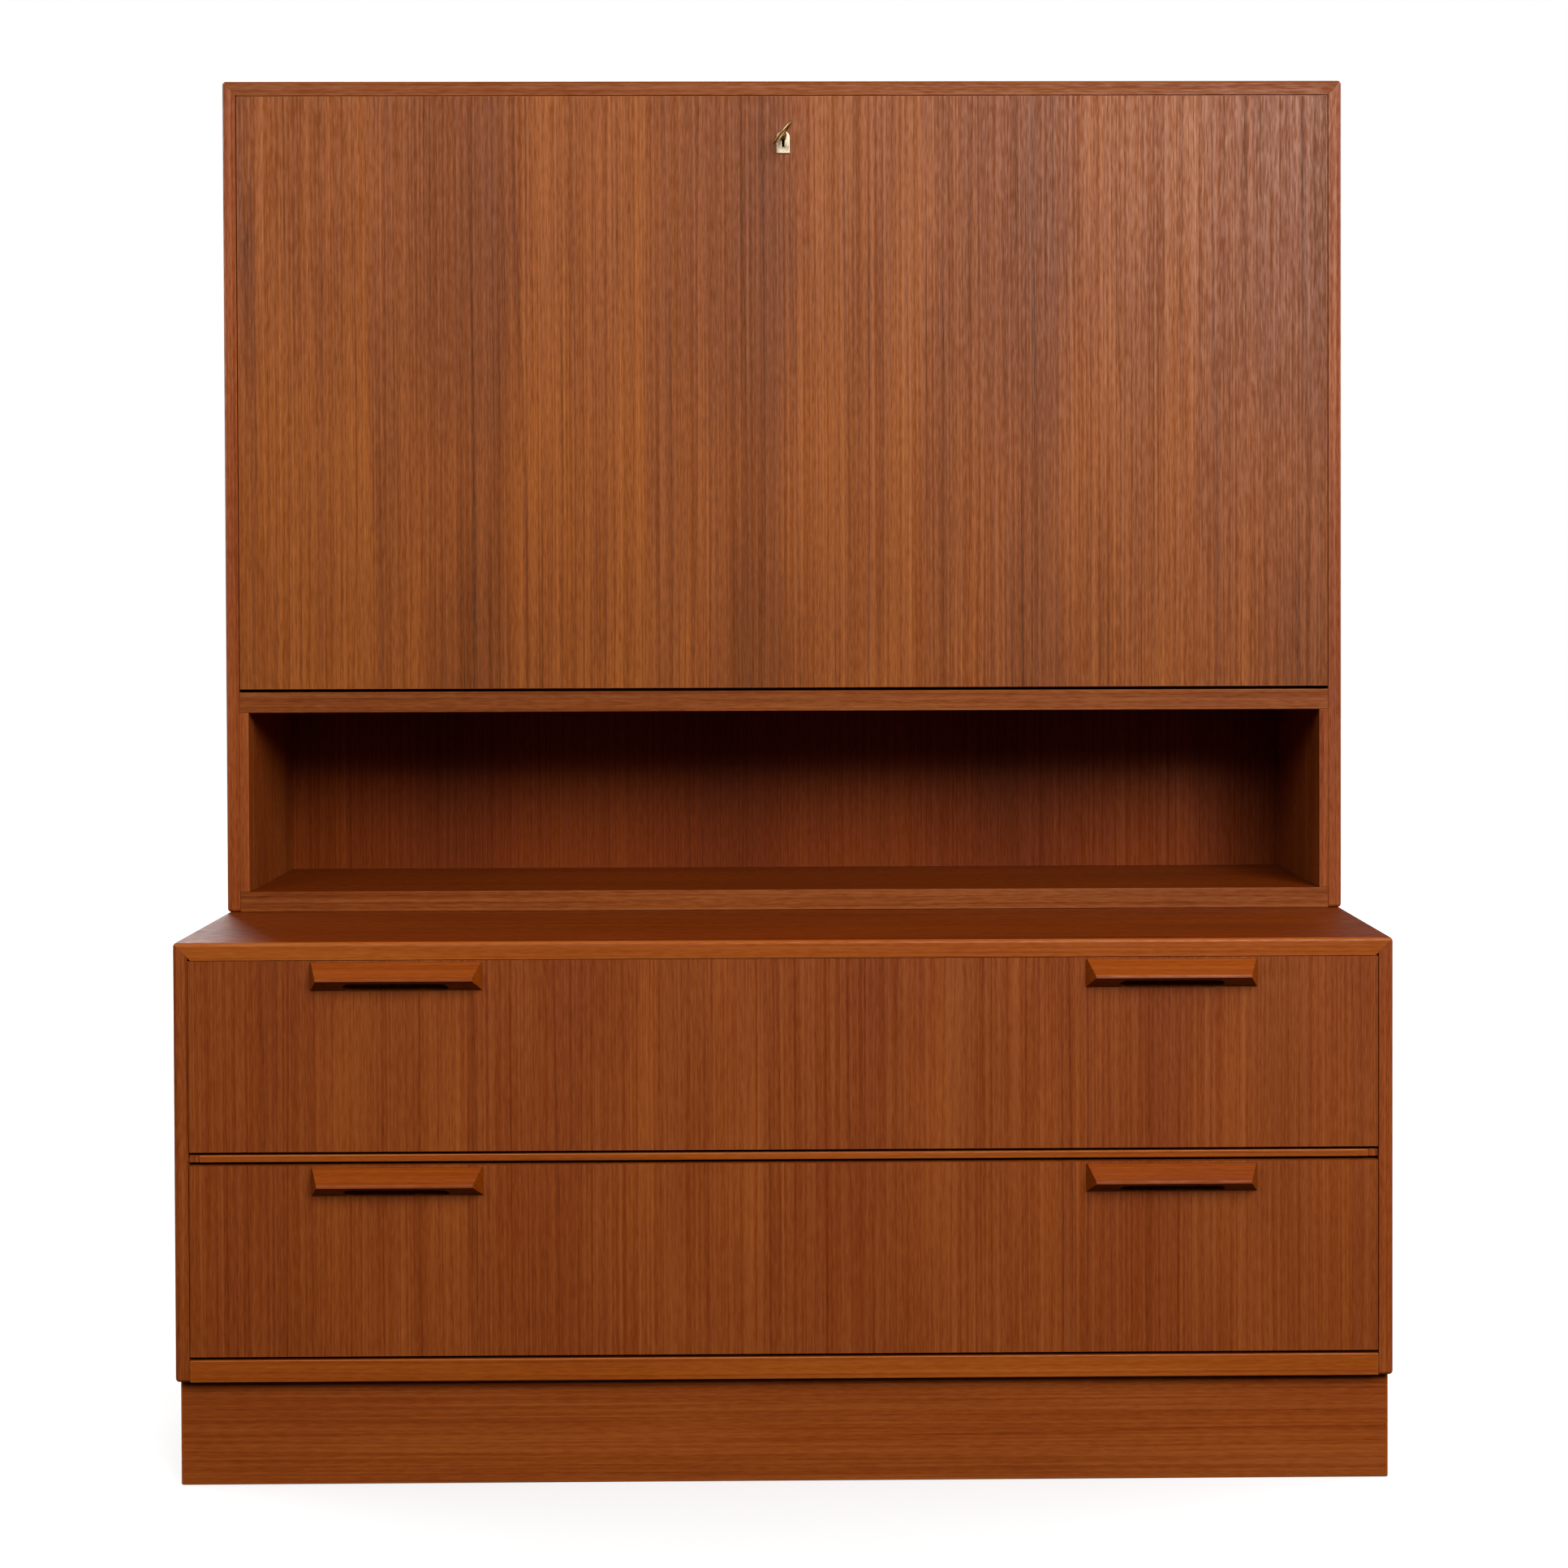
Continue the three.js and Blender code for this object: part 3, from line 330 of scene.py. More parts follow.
    # The heartwood goes greyer in broad soft bands.
    band = add_node(
        tree,
        "ShaderNodeMapRange",
        {
            "Value": grain(turned, GREY_BAND, 1),
            "From Min": 0.48,
            "From Max": 0.68,
            "To Max": 0.48 * figure,
        },
    )
    greyed = add_node(
        tree,
        "ShaderNodeMix",
        {0: band.outputs["Result"], "A": ramp.outputs[0], "B": linear("#e4ebee")},
        data_type="RGBA",
        blend_type="MULTIPLY",
    )

    relief = math_node("SUBTRACT", fibre, math_node("MULTIPLY", pore, 0.6))
    bump = add_node(tree, "ShaderNodeBump", {"Height": relief, "Strength": 0.25, "Distance": 0.14 * MM})
    sheen = add_node(
        tree,
        "ShaderNodeMapRange",
        {
            "Value": fibre,
            "From Min": 0.3,
            "From Max": 0.7,
            "To Min": roughness + SHEEN_SPREAD,
            "To Max": roughness - SHEEN_SPREAD,
        },
    )
    # The dense pale fibres shine, and the open dark grain hardly does.
    dense = math_node("ADD", fibre, thread)
    shine = add_node(
        tree,
        "ShaderNodeMapRange",
        {
            "Value": dense,
            "From Min": 0.75,
            "From Max": 1.25,
            "To Min": 0.5 * gloss,
            "To Max": 1.5 * gloss,
        },
    )
    shader = add_node(
        tree,
        "ShaderNodeBsdfPrincipled",
        {
            "Base Color": greyed.outputs["Result"],
            "Roughness": sheen.outputs["Result"],
            "Normal": bump.outputs[0],
            "IOR": 1.5,
            "Specular IOR Level": shine.outputs["Result"],
        },
    )
    add_node(tree, "ShaderNodeOutputMaterial", {0: shader.outputs[0]})
    return material


def mesh_from(bm, name):
    """The mesh made from a bmesh, which is freed."""
    mesh = bpy.data.meshes.new(name)
    bm.to_mesh(mesh)
    bm.free()
    return mesh


def cad_mesh(node):
    """A merged copy of a CAD node's mesh, its flat faces each in one piece."""
    mesh = frame["nodes"][node].data.copy()
    bm = bmesh.new()
    bm.from_mesh(mesh)
    bmesh.ops.remove_doubles(bm, verts=bm.verts, dist=1e-6)
    bmesh.ops.dissolve_limit(bm, angle_limit=math.radians(0.2), verts=bm.verts, edges=bm.edges)
    bm.to_mesh(mesh)
    bm.free()
    mesh.materials.clear()
    return mesh


def shown(name, mesh):
    obj = bpy.data.objects.new(name, mesh)
    bpy.context.scene.collection.objects.link(obj)
    return obj


def settle(obj):
    """Applies the modifiers to the mesh."""
    evaluated = obj.evaluated_get(bpy.context.evaluated_depsgraph_get())
    mesh = bpy.data.meshes.new_from_object(evaluated)
    obj.modifiers.clear()
    obj.data = mesh
    return obj


def round_edges(obj, width, segments=2, worn_slot=None, limit=35):
    """Rounds the sharp edges; the broad faces keep their own flat shading."""
    obj.data.shade_smooth()
    bevel = obj.modifiers.new("rounded edges", "BEVEL")
    bevel.width = width
    bevel.segments = segments
    bevel.limit_method = "ANGLE"
    bevel.angle_limit = math.radians(limit)
    bevel.use_clamp_overlap = True
    if worn_slot is not None:
        bevel.material = worn_slot
    shading = obj.modifiers.new("flat broad faces", "WEIGHTED_NORMAL")
    shading.weight = 100
    shading.keep_sharp = True
    return settle(obj)


def boolean(obj, operation, other):
    """Joins another object to this one, or cuts it out, or trims to it, and deletes the other."""
    work = obj.modifiers.new(operation, "BOOLEAN")
    work.operation = operation
    work.solver = "EXACT"
    work.object = other
    settle(obj)
    bpy.data.objects.remove(other)
    return obj


def place(obj, node, slot, body=None):
    """The piece stands for a CAD node and rides on its body. slot is not used."""
    if body is None:
        body = next(b for b, nodes in frame["record"]["behaviour"]["bodies"].items() if node in nodes)
    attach(obj, body)
    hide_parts(node)
    return obj


def board(node, material, edge_material, slot, rounding=0.7 * MM, outline=None, flat=None):
    """A board from its CAD shape, with eased edges that hands and cloths have worn paler.

    outline makes the rounded outer box of the whole cabinet, which its outer boards are trimmed to.
    flat is the veneer on the upper and lower faces of a board whose edges are solid.
    """
    obj = shown(f"{node}_board", cad_mesh(node))
    obj.data.materials.append(material)
    obj.data.materials.append(edge_material)
    if outline:
        boolean(obj, "INTERSECT", outline())
    if flat:
        obj.data.materials.append(flat)
        for polygon in obj.data.polygons:
            if abs(polygon.normal.z) > 0.9:
                polygon.material_index = 2
    round_edges(obj, rounding, 2, worn_slot=1, limit=50)
    return place(obj, node, slot)


TEAK = ["#3a1402", "#602505", "#7f380b", "#964d19", "#b26d35"]
TEAK_WORN = ["#552206", "#7d380d", "#944a14", "#a65b1e", "#c07a38"]
BEECH = ["#8a5c2e", "#ab7a44", "#bf8f58", "#cc9f68", "#d9b27e"]

# Oiled solid teak: deep orange-brown, finely streaked, with only a soft sheen.
plinth_x = wood("oiled solid teak, grain across", "X", TEAK, (0.3, 0.1, 0.2), figure=0.42, gloss=0.17)
plinth_y = wood(
    "oiled solid teak, grain front to back", "Y", TEAK, (0.1, 0.5, 0.3), figure=0.5, gloss=0.17
)
# The same teak where cloths and hands have rubbed the oil thin: a little paler and yellower.
worn_x = wood("rubbed teak edge, grain across", "X", TEAK_WORN, (0.7, 0.1, 0.2), figure=0.5)
# Lacquered beech: pale, even and pinkish-tan, with short flecks instead of lines.
beech_x = wood("lacquered beech, grain across", "X", BEECH, (0.2, 0.9, 0.4), figure=0.3)
beech_y = wood("lacquered beech, grain front to back", "Y", BEECH, (0.6, 0.2, 0.8), figure=0.3)

board("plinth_front", plinth_x, worn_x, "teak_solid", 1.5 * MM)
for side in ("left", "right"):
    board(f"plinth_{side}", plinth_y, worn_x, "teak_solid", 1.0 * MM)
board("plinth_back", beech_x, beech_x, "drawer_beech")

# ---- Base cabinet ---------------------------------------------------------------------------
# Veneered boards with solid edges, mitred at the top corners. The glued-up case's outer edges are
# rounded over together. A thin plywood back is pinned into a rebate around its rear edges.

CASE_ROUNDING = 3.5 * MM
MITRE_EDGE = 0.18 * MM  # the mitred boards' other edges are left nearly sharp


def case_outline(nodes):
    """The cabinet's whole outer box with rounded edges, only for trimming its boards."""
    corners = [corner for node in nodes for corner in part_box(node)]
    low = Vector([min(c[i] for c in corners) for i in range(3)])
    high = Vector([max(c[i] for c in corners) for i in range(3)])
    bm = bmesh.new()
    bmesh.ops.create_cube(bm, size=1)
    bmesh.ops.scale(bm, vec=high - low, verts=bm.verts)
    bmesh.ops.translate(bm, vec=(low + high) / 2, verts=bm.verts)
    bmesh.ops.bevel(bm, geom=bm.edges, offset=CASE_ROUNDING, segments=5, profile=0.5, affect="EDGES")
    return shown("case_outline", mesh_from(bm, "case outline"))


def base_outline():
    return case_outline(["base_side_left", "base_side_right", "base_top"])


TEAK_ORANGE = ["#451702", "#6d2b04", "#8a400a", "#a05415", "#bc742b"]
# Solid teak lippings of the base: a brighter orange than the plinth, and as softly shining.
teak_x = wood("oiled teak lipping, base", "X", TEAK_ORANGE, (0.3, 0.1, 0.2), figure=0.42, gloss=0.17)
# Oiled teak veneer, upright: brown with fine dark growth lines and dull pores.
teak_sides = wood("oiled teak veneer, upright", "Z", TEAK, (0.4, 0.2, 0.1), figure=0.65)
# Its long edges, where the oil is rubbed thin: a little paler and yellower.
worn_z = wood("rubbed teak edge, upright", "Z", TEAK_WORN, (0.3, 0.6, 0.1), figure=0.5)
# The veneer of the level faces is darkened to the deepest brown as painted shade, and hardly shines.
TEAK_LEVEL_SHADE = ["#341101", "#4f1c01", "#652602", "#793205", "#914a14"]
teak_level_shaded = wood(
    "oiled teak veneer, level faces, painted shade", "X", TEAK_LEVEL_SHADE, (0.9, 0.4, 0.5), figure=0.6, gloss=0.08
)
# Sanded birch ply: pale and dry, hardly shining.
plywood = wood(
    "sanded birch plywood", "X", BEECH, (0.5, 0.4, 0.1), figure=0.5, roughness=0.62, gloss=0.15
)

for side in ("left", "right"):
    board(f"base_side_{side}", teak_sides, worn_z, "teak_veneer", MITRE_EDGE, base_outline)
board("base_top", teak_x, worn_x, "teak_veneer", MITRE_EDGE, base_outline, teak_level_shaded)
board("base_bottom", teak_x, worn_x, "teak_veneer", 1.0 * MM, flat=teak_level_shaded)
board("drawer_rail", teak_x, worn_x, "teak_solid", 1.0 * MM)
board("base_back", plywood, plywood, "plywood", 0.4 * MM)


def slab(name, low, high, material, rounding):
    """A small block between two corners, with rounded edges."""
    bm = bmesh.new()
    bmesh.ops.create_cube(bm, size=1)
    bmesh.ops.scale(bm, vec=high - low, verts=bm.verts)
    bmesh.ops.translate(bm, vec=(low + high) / 2, verts=bm.verts)
    mesh = mesh_from(bm, name)
    mesh.materials.append(material)
    return round_edges(shown(name, mesh), rounding)


# A slip of teak closes each side's rebate at the rail's end, between the two drawers.
SHADOW_GAP = 3 * MM
SLIP_RECESS = 1.5 * MM
rail_low, rail_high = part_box("drawer_rail")
slip_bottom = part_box("lower_drawer_front")[1].z + SHADOW_GAP
slip_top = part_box("upper_drawer_front")[0].z - SHADOW_GAP
slip_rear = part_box("upper_drawer_front")[1].y
rebate_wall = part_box("base_bottom")[1].x
for side, way in (("left", -1), ("right", 1)):
    ends = sorted((way * (rail_high.x + 0.2 * MM), way * rebate_wall))
    low = Vector((ends[0], rail_low.y + SLIP_RECESS, slip_bottom))
    high = Vector((ends[1], slip_rear, slip_top))
    slip = slab(f"rail_end_{side}", low, high, teak_sides, 0.4 * MM)
    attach(slip, "cabinet")
for drawer in ("upper_drawer", "lower_drawer"):
    for side in ("left", "right"):
        board(f"{drawer}_runner_{side}", beech_y, beech_y, "drawer_beech", 1.0 * MM)


TARNISH = 0.18  # how much rougher a metal's tarnished patches are


def metal(name, hex_colour, roughness, marks):
    """A worn metal; marks is the size of its dull patches."""
    material, tree = new_material(name)
    coordinates = add_node(tree, "ShaderNodeTexCoord").outputs["Object"]
    patches = {"Vector": coordinates, "Scale": 1 / marks, "Detail": 4.0}
    smudge = add_node(tree, "ShaderNodeTexNoise", patches)
    polish = add_node(
        tree,
        "ShaderNodeMapRange",
        {
            "Value": smudge.outputs["Fac"],
            "From Min": 0.3,
            "From Max": 0.7,
            "To Min": roughness,
            "To Max": roughness + TARNISH,
        },
    )
    tint = add_node(tree, "ShaderNodeValToRGB", {0: smudge.outputs["Fac"]})
    bright = linear(hex_colour)
    set_stops(tint, [(0.3, [0.62 * c for c in bright[:3]] + [1]), (0.6, bright)])
    shader = add_node(
        tree,
        "ShaderNodeBsdfPrincipled",
        {"Base Color": tint.outputs[0], "Roughness": polish.outputs["Result"], "Metallic": 1.0},
    )
    add_node(tree, "ShaderNodeOutputMaterial", {0: shader.outputs[0]})
    return material


HEAD_SUNK = 0.4 * MM  # how far a head reaches into the wood, so that it shows no gap
CROWN_SHARE = 0.72  # the flat crown's share of a head's radius
SAW_LENGTH = 3.0  # of the bar that cuts the slot, in head radii
SAW_HEIGHT = 0.62  # of that bar's middle, as a share of the head's depth


def heads_tree(name, slotted):
    """Round heads on points, each turned to its point's facing. A slotted head has a sawn slot."""
    tree = bpy.data.node_groups.new(name, "GeometryNodeTree")
    face = tree.interface
    face.new_socket("Points", in_out="INPUT", socket_type="NodeSocketGeometry")
    for label in ("Head radius", "Head height", "Slot width"):
        face.new_socket(label, in_out="INPUT", socket_type="NodeSocketFloat")
    face.new_socket("Finish", in_out="INPUT", socket_type="NodeSocketMaterial")
    face.new_socket("Heads", in_out="OUTPUT", socket_type="NodeSocketGeometry")
    given = add_node(tree, "NodeGroupInput").outputs
    height_in = {0: given["Head height"], 1: HEAD_SUNK}
    depth = add_node(tree, "ShaderNodeMath", height_in, operation="ADD").outputs[0]
    radius_in = {0: given["Head radius"], 1: CROWN_SHARE}
    crown = add_node(tree, "ShaderNodeMath", radius_in, operation="MULTIPLY").outputs[0]
    body = add_node(
        tree,
        "GeometryNodeMeshCone",
        {
            "Vertices": 20,
            "Side Segments": 1,
            "Radius Top": crown,
            "Radius Bottom": given["Head radius"],
            "Depth": depth,
        },
    ).outputs["Mesh"]
    drop = add_node(tree, "ShaderNodeCombineXYZ", {2: -HEAD_SUNK}).outputs[0]
    head = add_node(tree, "GeometryNodeTransform", {"Geometry": body, "Translation": drop}).outputs[0]
    if slotted:
        length_in = {0: given["Head radius"], 1: SAW_LENGTH}
        across = add_node(tree, "ShaderNodeMath", length_in, operation="MULTIPLY")
        size = add_node(
            tree, "ShaderNodeCombineXYZ", {0: across.outputs[0], 1: given["Slot width"], 2: depth}
        ).outputs[0]
        bar = add_node(tree, "GeometryNodeMeshCube", {"Size": size}).outputs["Mesh"]
        lift_in = {0: depth, 1: SAW_HEIGHT}
        half_up = add_node(tree, "ShaderNodeMath", lift_in, operation="MULTIPLY").outputs[0]
        lift = add_node(tree, "ShaderNodeCombineXYZ", {2: half_up}).outputs[0]
        saw = add_node(tree, "GeometryNodeTransform", {"Geometry": bar, "Translation": lift}).outputs[0]
        pair = {"Mesh 1": head, "Mesh 2": saw}
        sawn = add_node(tree, "GeometryNodeMeshBoolean", pair, operation="DIFFERENCE")
        head = sawn.outputs["Mesh"]
    named = {"Name": "facing"}
    facing = add_node(tree, "GeometryNodeInputNamedAttribute", named, data_type="FLOAT_VECTOR")
    outwards = {"Vector": facing.outputs[0]}
    upright = add_node(tree, "FunctionNodeAlignRotationToVector", outwards, axis="Z")
    chance = add_node(tree, "FunctionNodeRandomValue", {"Max": math.pi, "Seed": 7}, data_type="FLOAT")
    twist = add_node(tree, "ShaderNodeCombineXYZ", {2: chance.outputs["Value"]}).outputs[0]
    turn = add_node(
        tree, "FunctionNodeRotateRotation", {0: upright.outputs[0], 1: twist}, rotation_space="LOCAL"
    )
    copies = add_node(
        tree,
        "GeometryNodeInstanceOnPoints",
        {"Points": given["Points"], "Instance": head, "Rotation": turn.outputs[0]},
    )
    real = add_node(tree, "GeometryNodeRealizeInstances", {0: copies.outputs[0]}).outputs[0]
    given_finish = {"Geometry": real, "Material": given["Finish"]}
    coloured = add_node(tree, "GeometryNodeSetMaterial", given_finish)
    add_node(tree, "NodeGroupOutput", {0: coloured.outputs[0]})
    return tree


pin_heads = heads_tree("panel pin heads", slotted=False)
screw_heads = heads_tree("slotted screw heads", slotted=True)


def fasten(name, body, tree, spots, sizes, material):
    """One piece holding every head at (place, facing) spots that rides on the same body."""
    mesh = bpy.data.meshes.new(name)
    mesh.from_pydata([spot for spot, _ in spots], [], [])
    facing = mesh.attributes.new("facing", "FLOAT_VECTOR", "POINT")
    for element, (_, way) in zip(facing.data, spots):
        element.vector = way
    obj = shown(name, mesh)
    work = obj.modifiers.new("heads", "NODES")
    work.node_group = tree
    values = {**sizes, "Finish": material}
    for socket in tree.interface.items_tree:
        if socket.in_out == "INPUT" and socket.name in values:
            work[socket.identifier] = values[socket.name]
    settle(obj)
    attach(obj, body)
    return obj


# Turned yellow brass, years old: warm and satin, browner in its dull patches.
brass = metal("aged satin brass", "#b89562", 0.3, 6 * MM)
# Rolled steel, oiled: grey and faintly mottled.
steel = metal("rolled steel", "#8f8d88", 0.4, 5 * MM)

PIN_HEAD = {"Head radius": 1.6 * MM, "Head height": 0.5 * MM}
SMALL_SCREW = {"Head radius": 2.6 * MM, "Head height": 0.6 * MM, "Slot width": 0.8 * MM}
TO_REAR, TO_FRONT, DOWNWARDS = (0, 1, 0), (0, -1, 0), (0, 0, -1)
PIN_SPACING = 110 * MM
PIN_FROM_EDGE = 5 * MM


def evenly(start, end, spacing):
    count = max(1, round((end - start) / spacing))
    return [start + (end - start) * i / count for i in range(count + 1)]


def pins_around(node, extra_heights=()):
    """Panel pins around a back panel's edge, and in rows where a board meets it."""
    low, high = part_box(node)
    left, right = low.x + PIN_FROM_EDGE, high.x - PIN_FROM_EDGE
    bottom, top = low.z + PIN_FROM_EDGE, high.z - PIN_FROM_EDGE
    rows = [(x, z) for z in (bottom, top, *extra_heights) for x in evenly(left, right, PIN_SPACING)]
    columns = [(x, z) for x in (left, right) for z in evenly(bottom, top, PIN_SPACING)[1:-1]]
    return [((x, high.y, z), TO_REAR) for x, z in rows + columns]


fasten("base_back_pins", "cabinet", pin_heads, pins_around("base_back"), PIN_HEAD, steel)

RUNNER_SCREW_INSET = 40 * MM
RUNNER_SCREW_SPACING = 150 * MM
runner_screws = []
for drawer in ("upper_drawer", "lower_drawer"):
    for side, way in (("left", 1), ("right", -1)):
        low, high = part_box(f"{drawer}_runner_{side}")
        face = high.x if way > 0 else low.x
        for y in evenly(low.y + RUNNER_SCREW_INSET, high.y - RUNNER_SCREW_INSET, RUNNER_SCREW_SPACING):
            runner_screws.append(((face, y, (low.z + high.z) / 2), (way, 0, 0)))
fasten("runner_screws", "cabinet", screw_heads, runner_screws, SMALL_SCREW, steel)

# ---- Drawers --------------------------------------------------------------------------------
# Each drawer is a beech box behind a teak-veneered front, with a plywood bottom held in grooves.
# Two solid teak pulls are glued to each front. Fingers reach up behind them into a scooped groove.

# The tone across one leaf of veneer, from edge to edge; 0.5 is the wood's own.
LEAF_TONES = [(0, 0.49), (0.25, 0.47), (0.38, 0.43), (0.5, 0.47), (0.62, 0.55), (0.8, 0.53), (1, 0.56)]
QUIETER = 0.55
QUIET_TONES = [(across, 0.5 + QUIETER * (tone - 0.5)) for across, tone in LEAF_TONES]
FRONT_LEAF = (266 * MM, -20 * MM, QUIET_TONES)
FRONT_TONES = ["#371302", "#5b2204", "#783409", "#8e4814", "#a9672d"]
# The fronts' oiled veneer is cut like the flap's, but its figure is quieter and its tone redder.
drawer_veneer = wood(
    "oiled teak veneer, slip-matched on the drawers",
    "Z",
    FRONT_TONES,
    (0, 0, 3.0),
    FRONT_LEAF,
    figure=0.52,
)
for drawer in ("upper_drawer", "lower_drawer"):
    board(f"{drawer}_front", drawer_veneer, worn_z, "teak_veneer", 0.8 * MM)
    for side in ("left", "right"):
        board(f"{drawer}_side_{side}", beech_y, beech_y, "drawer_beech", 1.0 * MM)
    board(f"{drawer}_back", beech_x, beech_x, "drawer_beech", 1.0 * MM)
    board(f"{drawer}_bottom", plywood, plywood, "plywood", 0.3 * MM)

PULL_TONES = ["#4c1b02", "#662602", "#793303", "#8b4005", "#a15413"]
LIP_DROP = 15 * MM
END_BEVEL = 7.5 * MM
GROOVE_RADIUS = 10 * MM
GROOVE_LENGTH = 98 * MM
GROOVE_CENTRE = (3 * MM, 17 * MM)  # in front of the drawer's face, and below the pull's top
PULL_EDGE = 1.5 * MM
PULL_ROUNDING = 0.9 * MM

# Solid teak that hands have polished: the most orange of the woods, and a little glossy.
pull_teak = wood(
    "hand-polished solid teak",
    "X",
    PULL_TONES,
    (0.1, 0.2, 0.9),
    figure=0.45,
    roughness=0.42,
    gloss=0.17,
)


def prism(outline, x_range, name):
    """A closed solid with a (y, z) outline between two x places."""
    bm = bmesh.new()
    rings = [[bm.verts.new((x, y, z)) for y, z in outline] for x in x_range]
    bm.faces.new(rings[0])
    bm.faces.new(rings[1])
    for i in range(len(outline)):
        j = (i + 1) % len(outline)
        bm.faces.new((rings[0][i], rings[0][j], rings[1][j], rings[1][i]))
    bmesh.ops.recalc_face_normals(bm, faces=bm.faces)
    return mesh_from(bm, name)


def scoop(x, y, z):
    """The round-nosed cutter's path: a capsule along X."""
    bm = bmesh.new()
    bmesh.ops.create_uvsphere(bm, u_segments=48, v_segments=24, radius=GROOVE_RADIUS)
    bmesh.ops.rotate(bm, matrix=Matrix.Rotation(math.pi / 2, 3, "Y"), verts=bm.verts)
    straight = GROOVE_LENGTH / 2 - GROOVE_RADIUS
    for vert in bm.verts:
        if abs(vert.co.x) > 1e-6:
            vert.co.x += math.copysign(straight, vert.co.x)
    bmesh.ops.translate(bm, vec=(x, y, z), verts=bm.verts)
    return shown("scoop", mesh_from(bm, "scoop"))


def make_pull(drawer, side):
    node = f"{drawer}_pull_{side}"
    low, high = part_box(node)
    lip, top = low.y, high.z
    section = [
        (high.y, top),
        (high.y - 2 * PULL_EDGE, top),
        (lip + PULL_EDGE / 2, top - LIP_DROP + 2 * PULL_EDGE),
        (lip, top - LIP_DROP + PULL_EDGE),
        (lip, top - LIP_DROP),
        (lip + PULL_EDGE, top - LIP_DROP - PULL_EDGE / 2),
        (high.y, low.z),
    ]
    mesh = prism(section, (low.x, high.x), node)
    bm = bmesh.new()
    bm.from_mesh(mesh)
    projection = high.y - lip
    for end, way in ((low.x, -1), (high.x, 1)):
        outwards = Vector((way * projection, -END_BEVEL, 0))
        cut = bmesh.ops.bisect_plane(
            bm,
            geom=bm.verts[:] + bm.edges[:] + bm.faces[:],
            plane_co=(end, high.y, 0),
            plane_no=outwards,
            clear_outer=True,
        )
        cut_edges = [e for e in cut["geom_cut"] if isinstance(e, bmesh.types.BMEdge)]
        bmesh.ops.holes_fill(bm, edges=cut_edges)
    bmesh.ops.recalc_face_normals(bm, faces=bm.faces)
    bm.to_mesh(mesh)
    bm.free()
    obj = shown(f"{node}_board", mesh)
    obj.data.materials.append(pull_teak)
    middle = (low.x + high.x) / 2
    face = high.y
    boolean(obj, "DIFFERENCE", scoop(middle, face - GROOVE_CENTRE[0], top - GROOVE_CENTRE[1]))
    round_edges(obj, PULL_ROUNDING, 3, limit=32)
    place(obj, node, "teak_solid")


for drawer in ("upper_drawer", "lower_drawer"):
    for side in ("left", "right"):
        make_pull(drawer, side)

# ---- Upper cabinet --------------------------------------------------------------------------
# The shallower cabinet is made like the base, and stands on it over two dowels. Its shelf and
# bottom run out between the sides' front edges, and thin strips fill the rebates by the niche.


def upper_outline():
    return case_outline(["upper_side_left", "upper_side_right", "upper_top"])


# Solid lippings glued to the boards' front edges, planed flush: redder than the base's.
LIPPING_TONES = ["#371404", "#592506", "#75370c", "#8c4c1a", "#a86c36"]
teak_lipping = wood("solid teak lipping", "X", LIPPING_TONES, (0.5, 0.8, 0.3), figure=0.5, gloss=0.17)
for side in ("left", "right"):
    board(f"upper_side_{side}", teak_sides, worn_z, "teak_veneer", MITRE_EDGE, upper_outline)
board("upper_top", teak_lipping, worn_x, "teak_veneer", MITRE_EDGE, upper_outline, teak_level_shaded)
for node in ("upper_bottom", "desk_shelf", "desk_floor"):
    board(node, teak_lipping, teak_lipping, "teak_veneer", 0.6 * MM, flat=teak_level_shaded)
for side in ("left", "right"):
    board(f"niche_strip_{side}", teak_sides, worn_z, "teak_solid", 0.5 * MM)
    board(f"dowel_{side}", beech_x, beech_x, "drawer_beech", 0.5 * MM)

# Teak-faced ply seen in the niche: broad growth lines, upright, dull. Its rear face is plain birch.
# Its tones are a darker brown than the other teak's, partly painted shade of the deep niche.
BACK_TONES_WITH_SHADE = ["#3a1502", "#552104", "#6c2a05", "#7f3808", "#985017"]
BACK_LEAF = (300 * MM, 30 * MM, LEAF_TONES)
back_veneer_with_shade = wood(
    "teak-faced plywood", "Z", BACK_TONES_WITH_SHADE, (0.2, 0.1, 5.0), BACK_LEAF, figure=0.45, gloss=0.12
)
upper_back = board("upper_back", back_veneer_with_shade, plywood, "back_panel", 0.3 * MM)
for polygon in upper_back.data.polygons:
    if polygon.normal.y > 0.9:
        polygon.material_index = 1
shelf_middle = sum(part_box("desk_shelf"), Vector()).z / 2
back_pins = pins_around("upper_back", (shelf_middle,))
fasten("upper_back_pins", "cabinet", pin_heads, back_pins, PIN_HEAD, steel)

# ---- Writing compartment --------------------------------------------------------------------
# Two uprights and three shelves of thin veneered board stand behind the flap. They are grooved
# into each other and glued, with their front edges lipped in teak.

for side in ("left", "right"):
    board(f"fitment_upright_{side}", teak_sides, worn_z, "teak_veneer")
    board(f"fitment_shelf_{side}", teak_x, worn_x, "teak_veneer")
board("fitment_shelf_centre", teak_x, worn_x, "teak_veneer")

# ---- Flap -----------------------------------------------------------------------------------
# The fall front is one flat veneered panel. Its veneer is slip-matched: three whole leaves and a
# part of one at each end, each going from brown through a darker band to a paler orange edge.

FLAP_LEAF = (271 * MM, -135.5 * MM, LEAF_TONES)
# The desk's showpiece veneer: its tone swings across each leaf, and steps down at each joint.
FLAP_TONES = ["#3d1804", "#5b2b0a", "#793b0c", "#995111", "#bd7826"]
flap_veneer = wood(
    "oiled teak veneer, slip-matched on the flap",
    "Z",
    FLAP_TONES,
    leaf=FLAP_LEAF,
    figure=0.55,
    roughness=0.44,
    gloss=0.24,
)
board("flap_panel", flap_veneer, worn_z, "teak_veneer", 0.9 * MM)

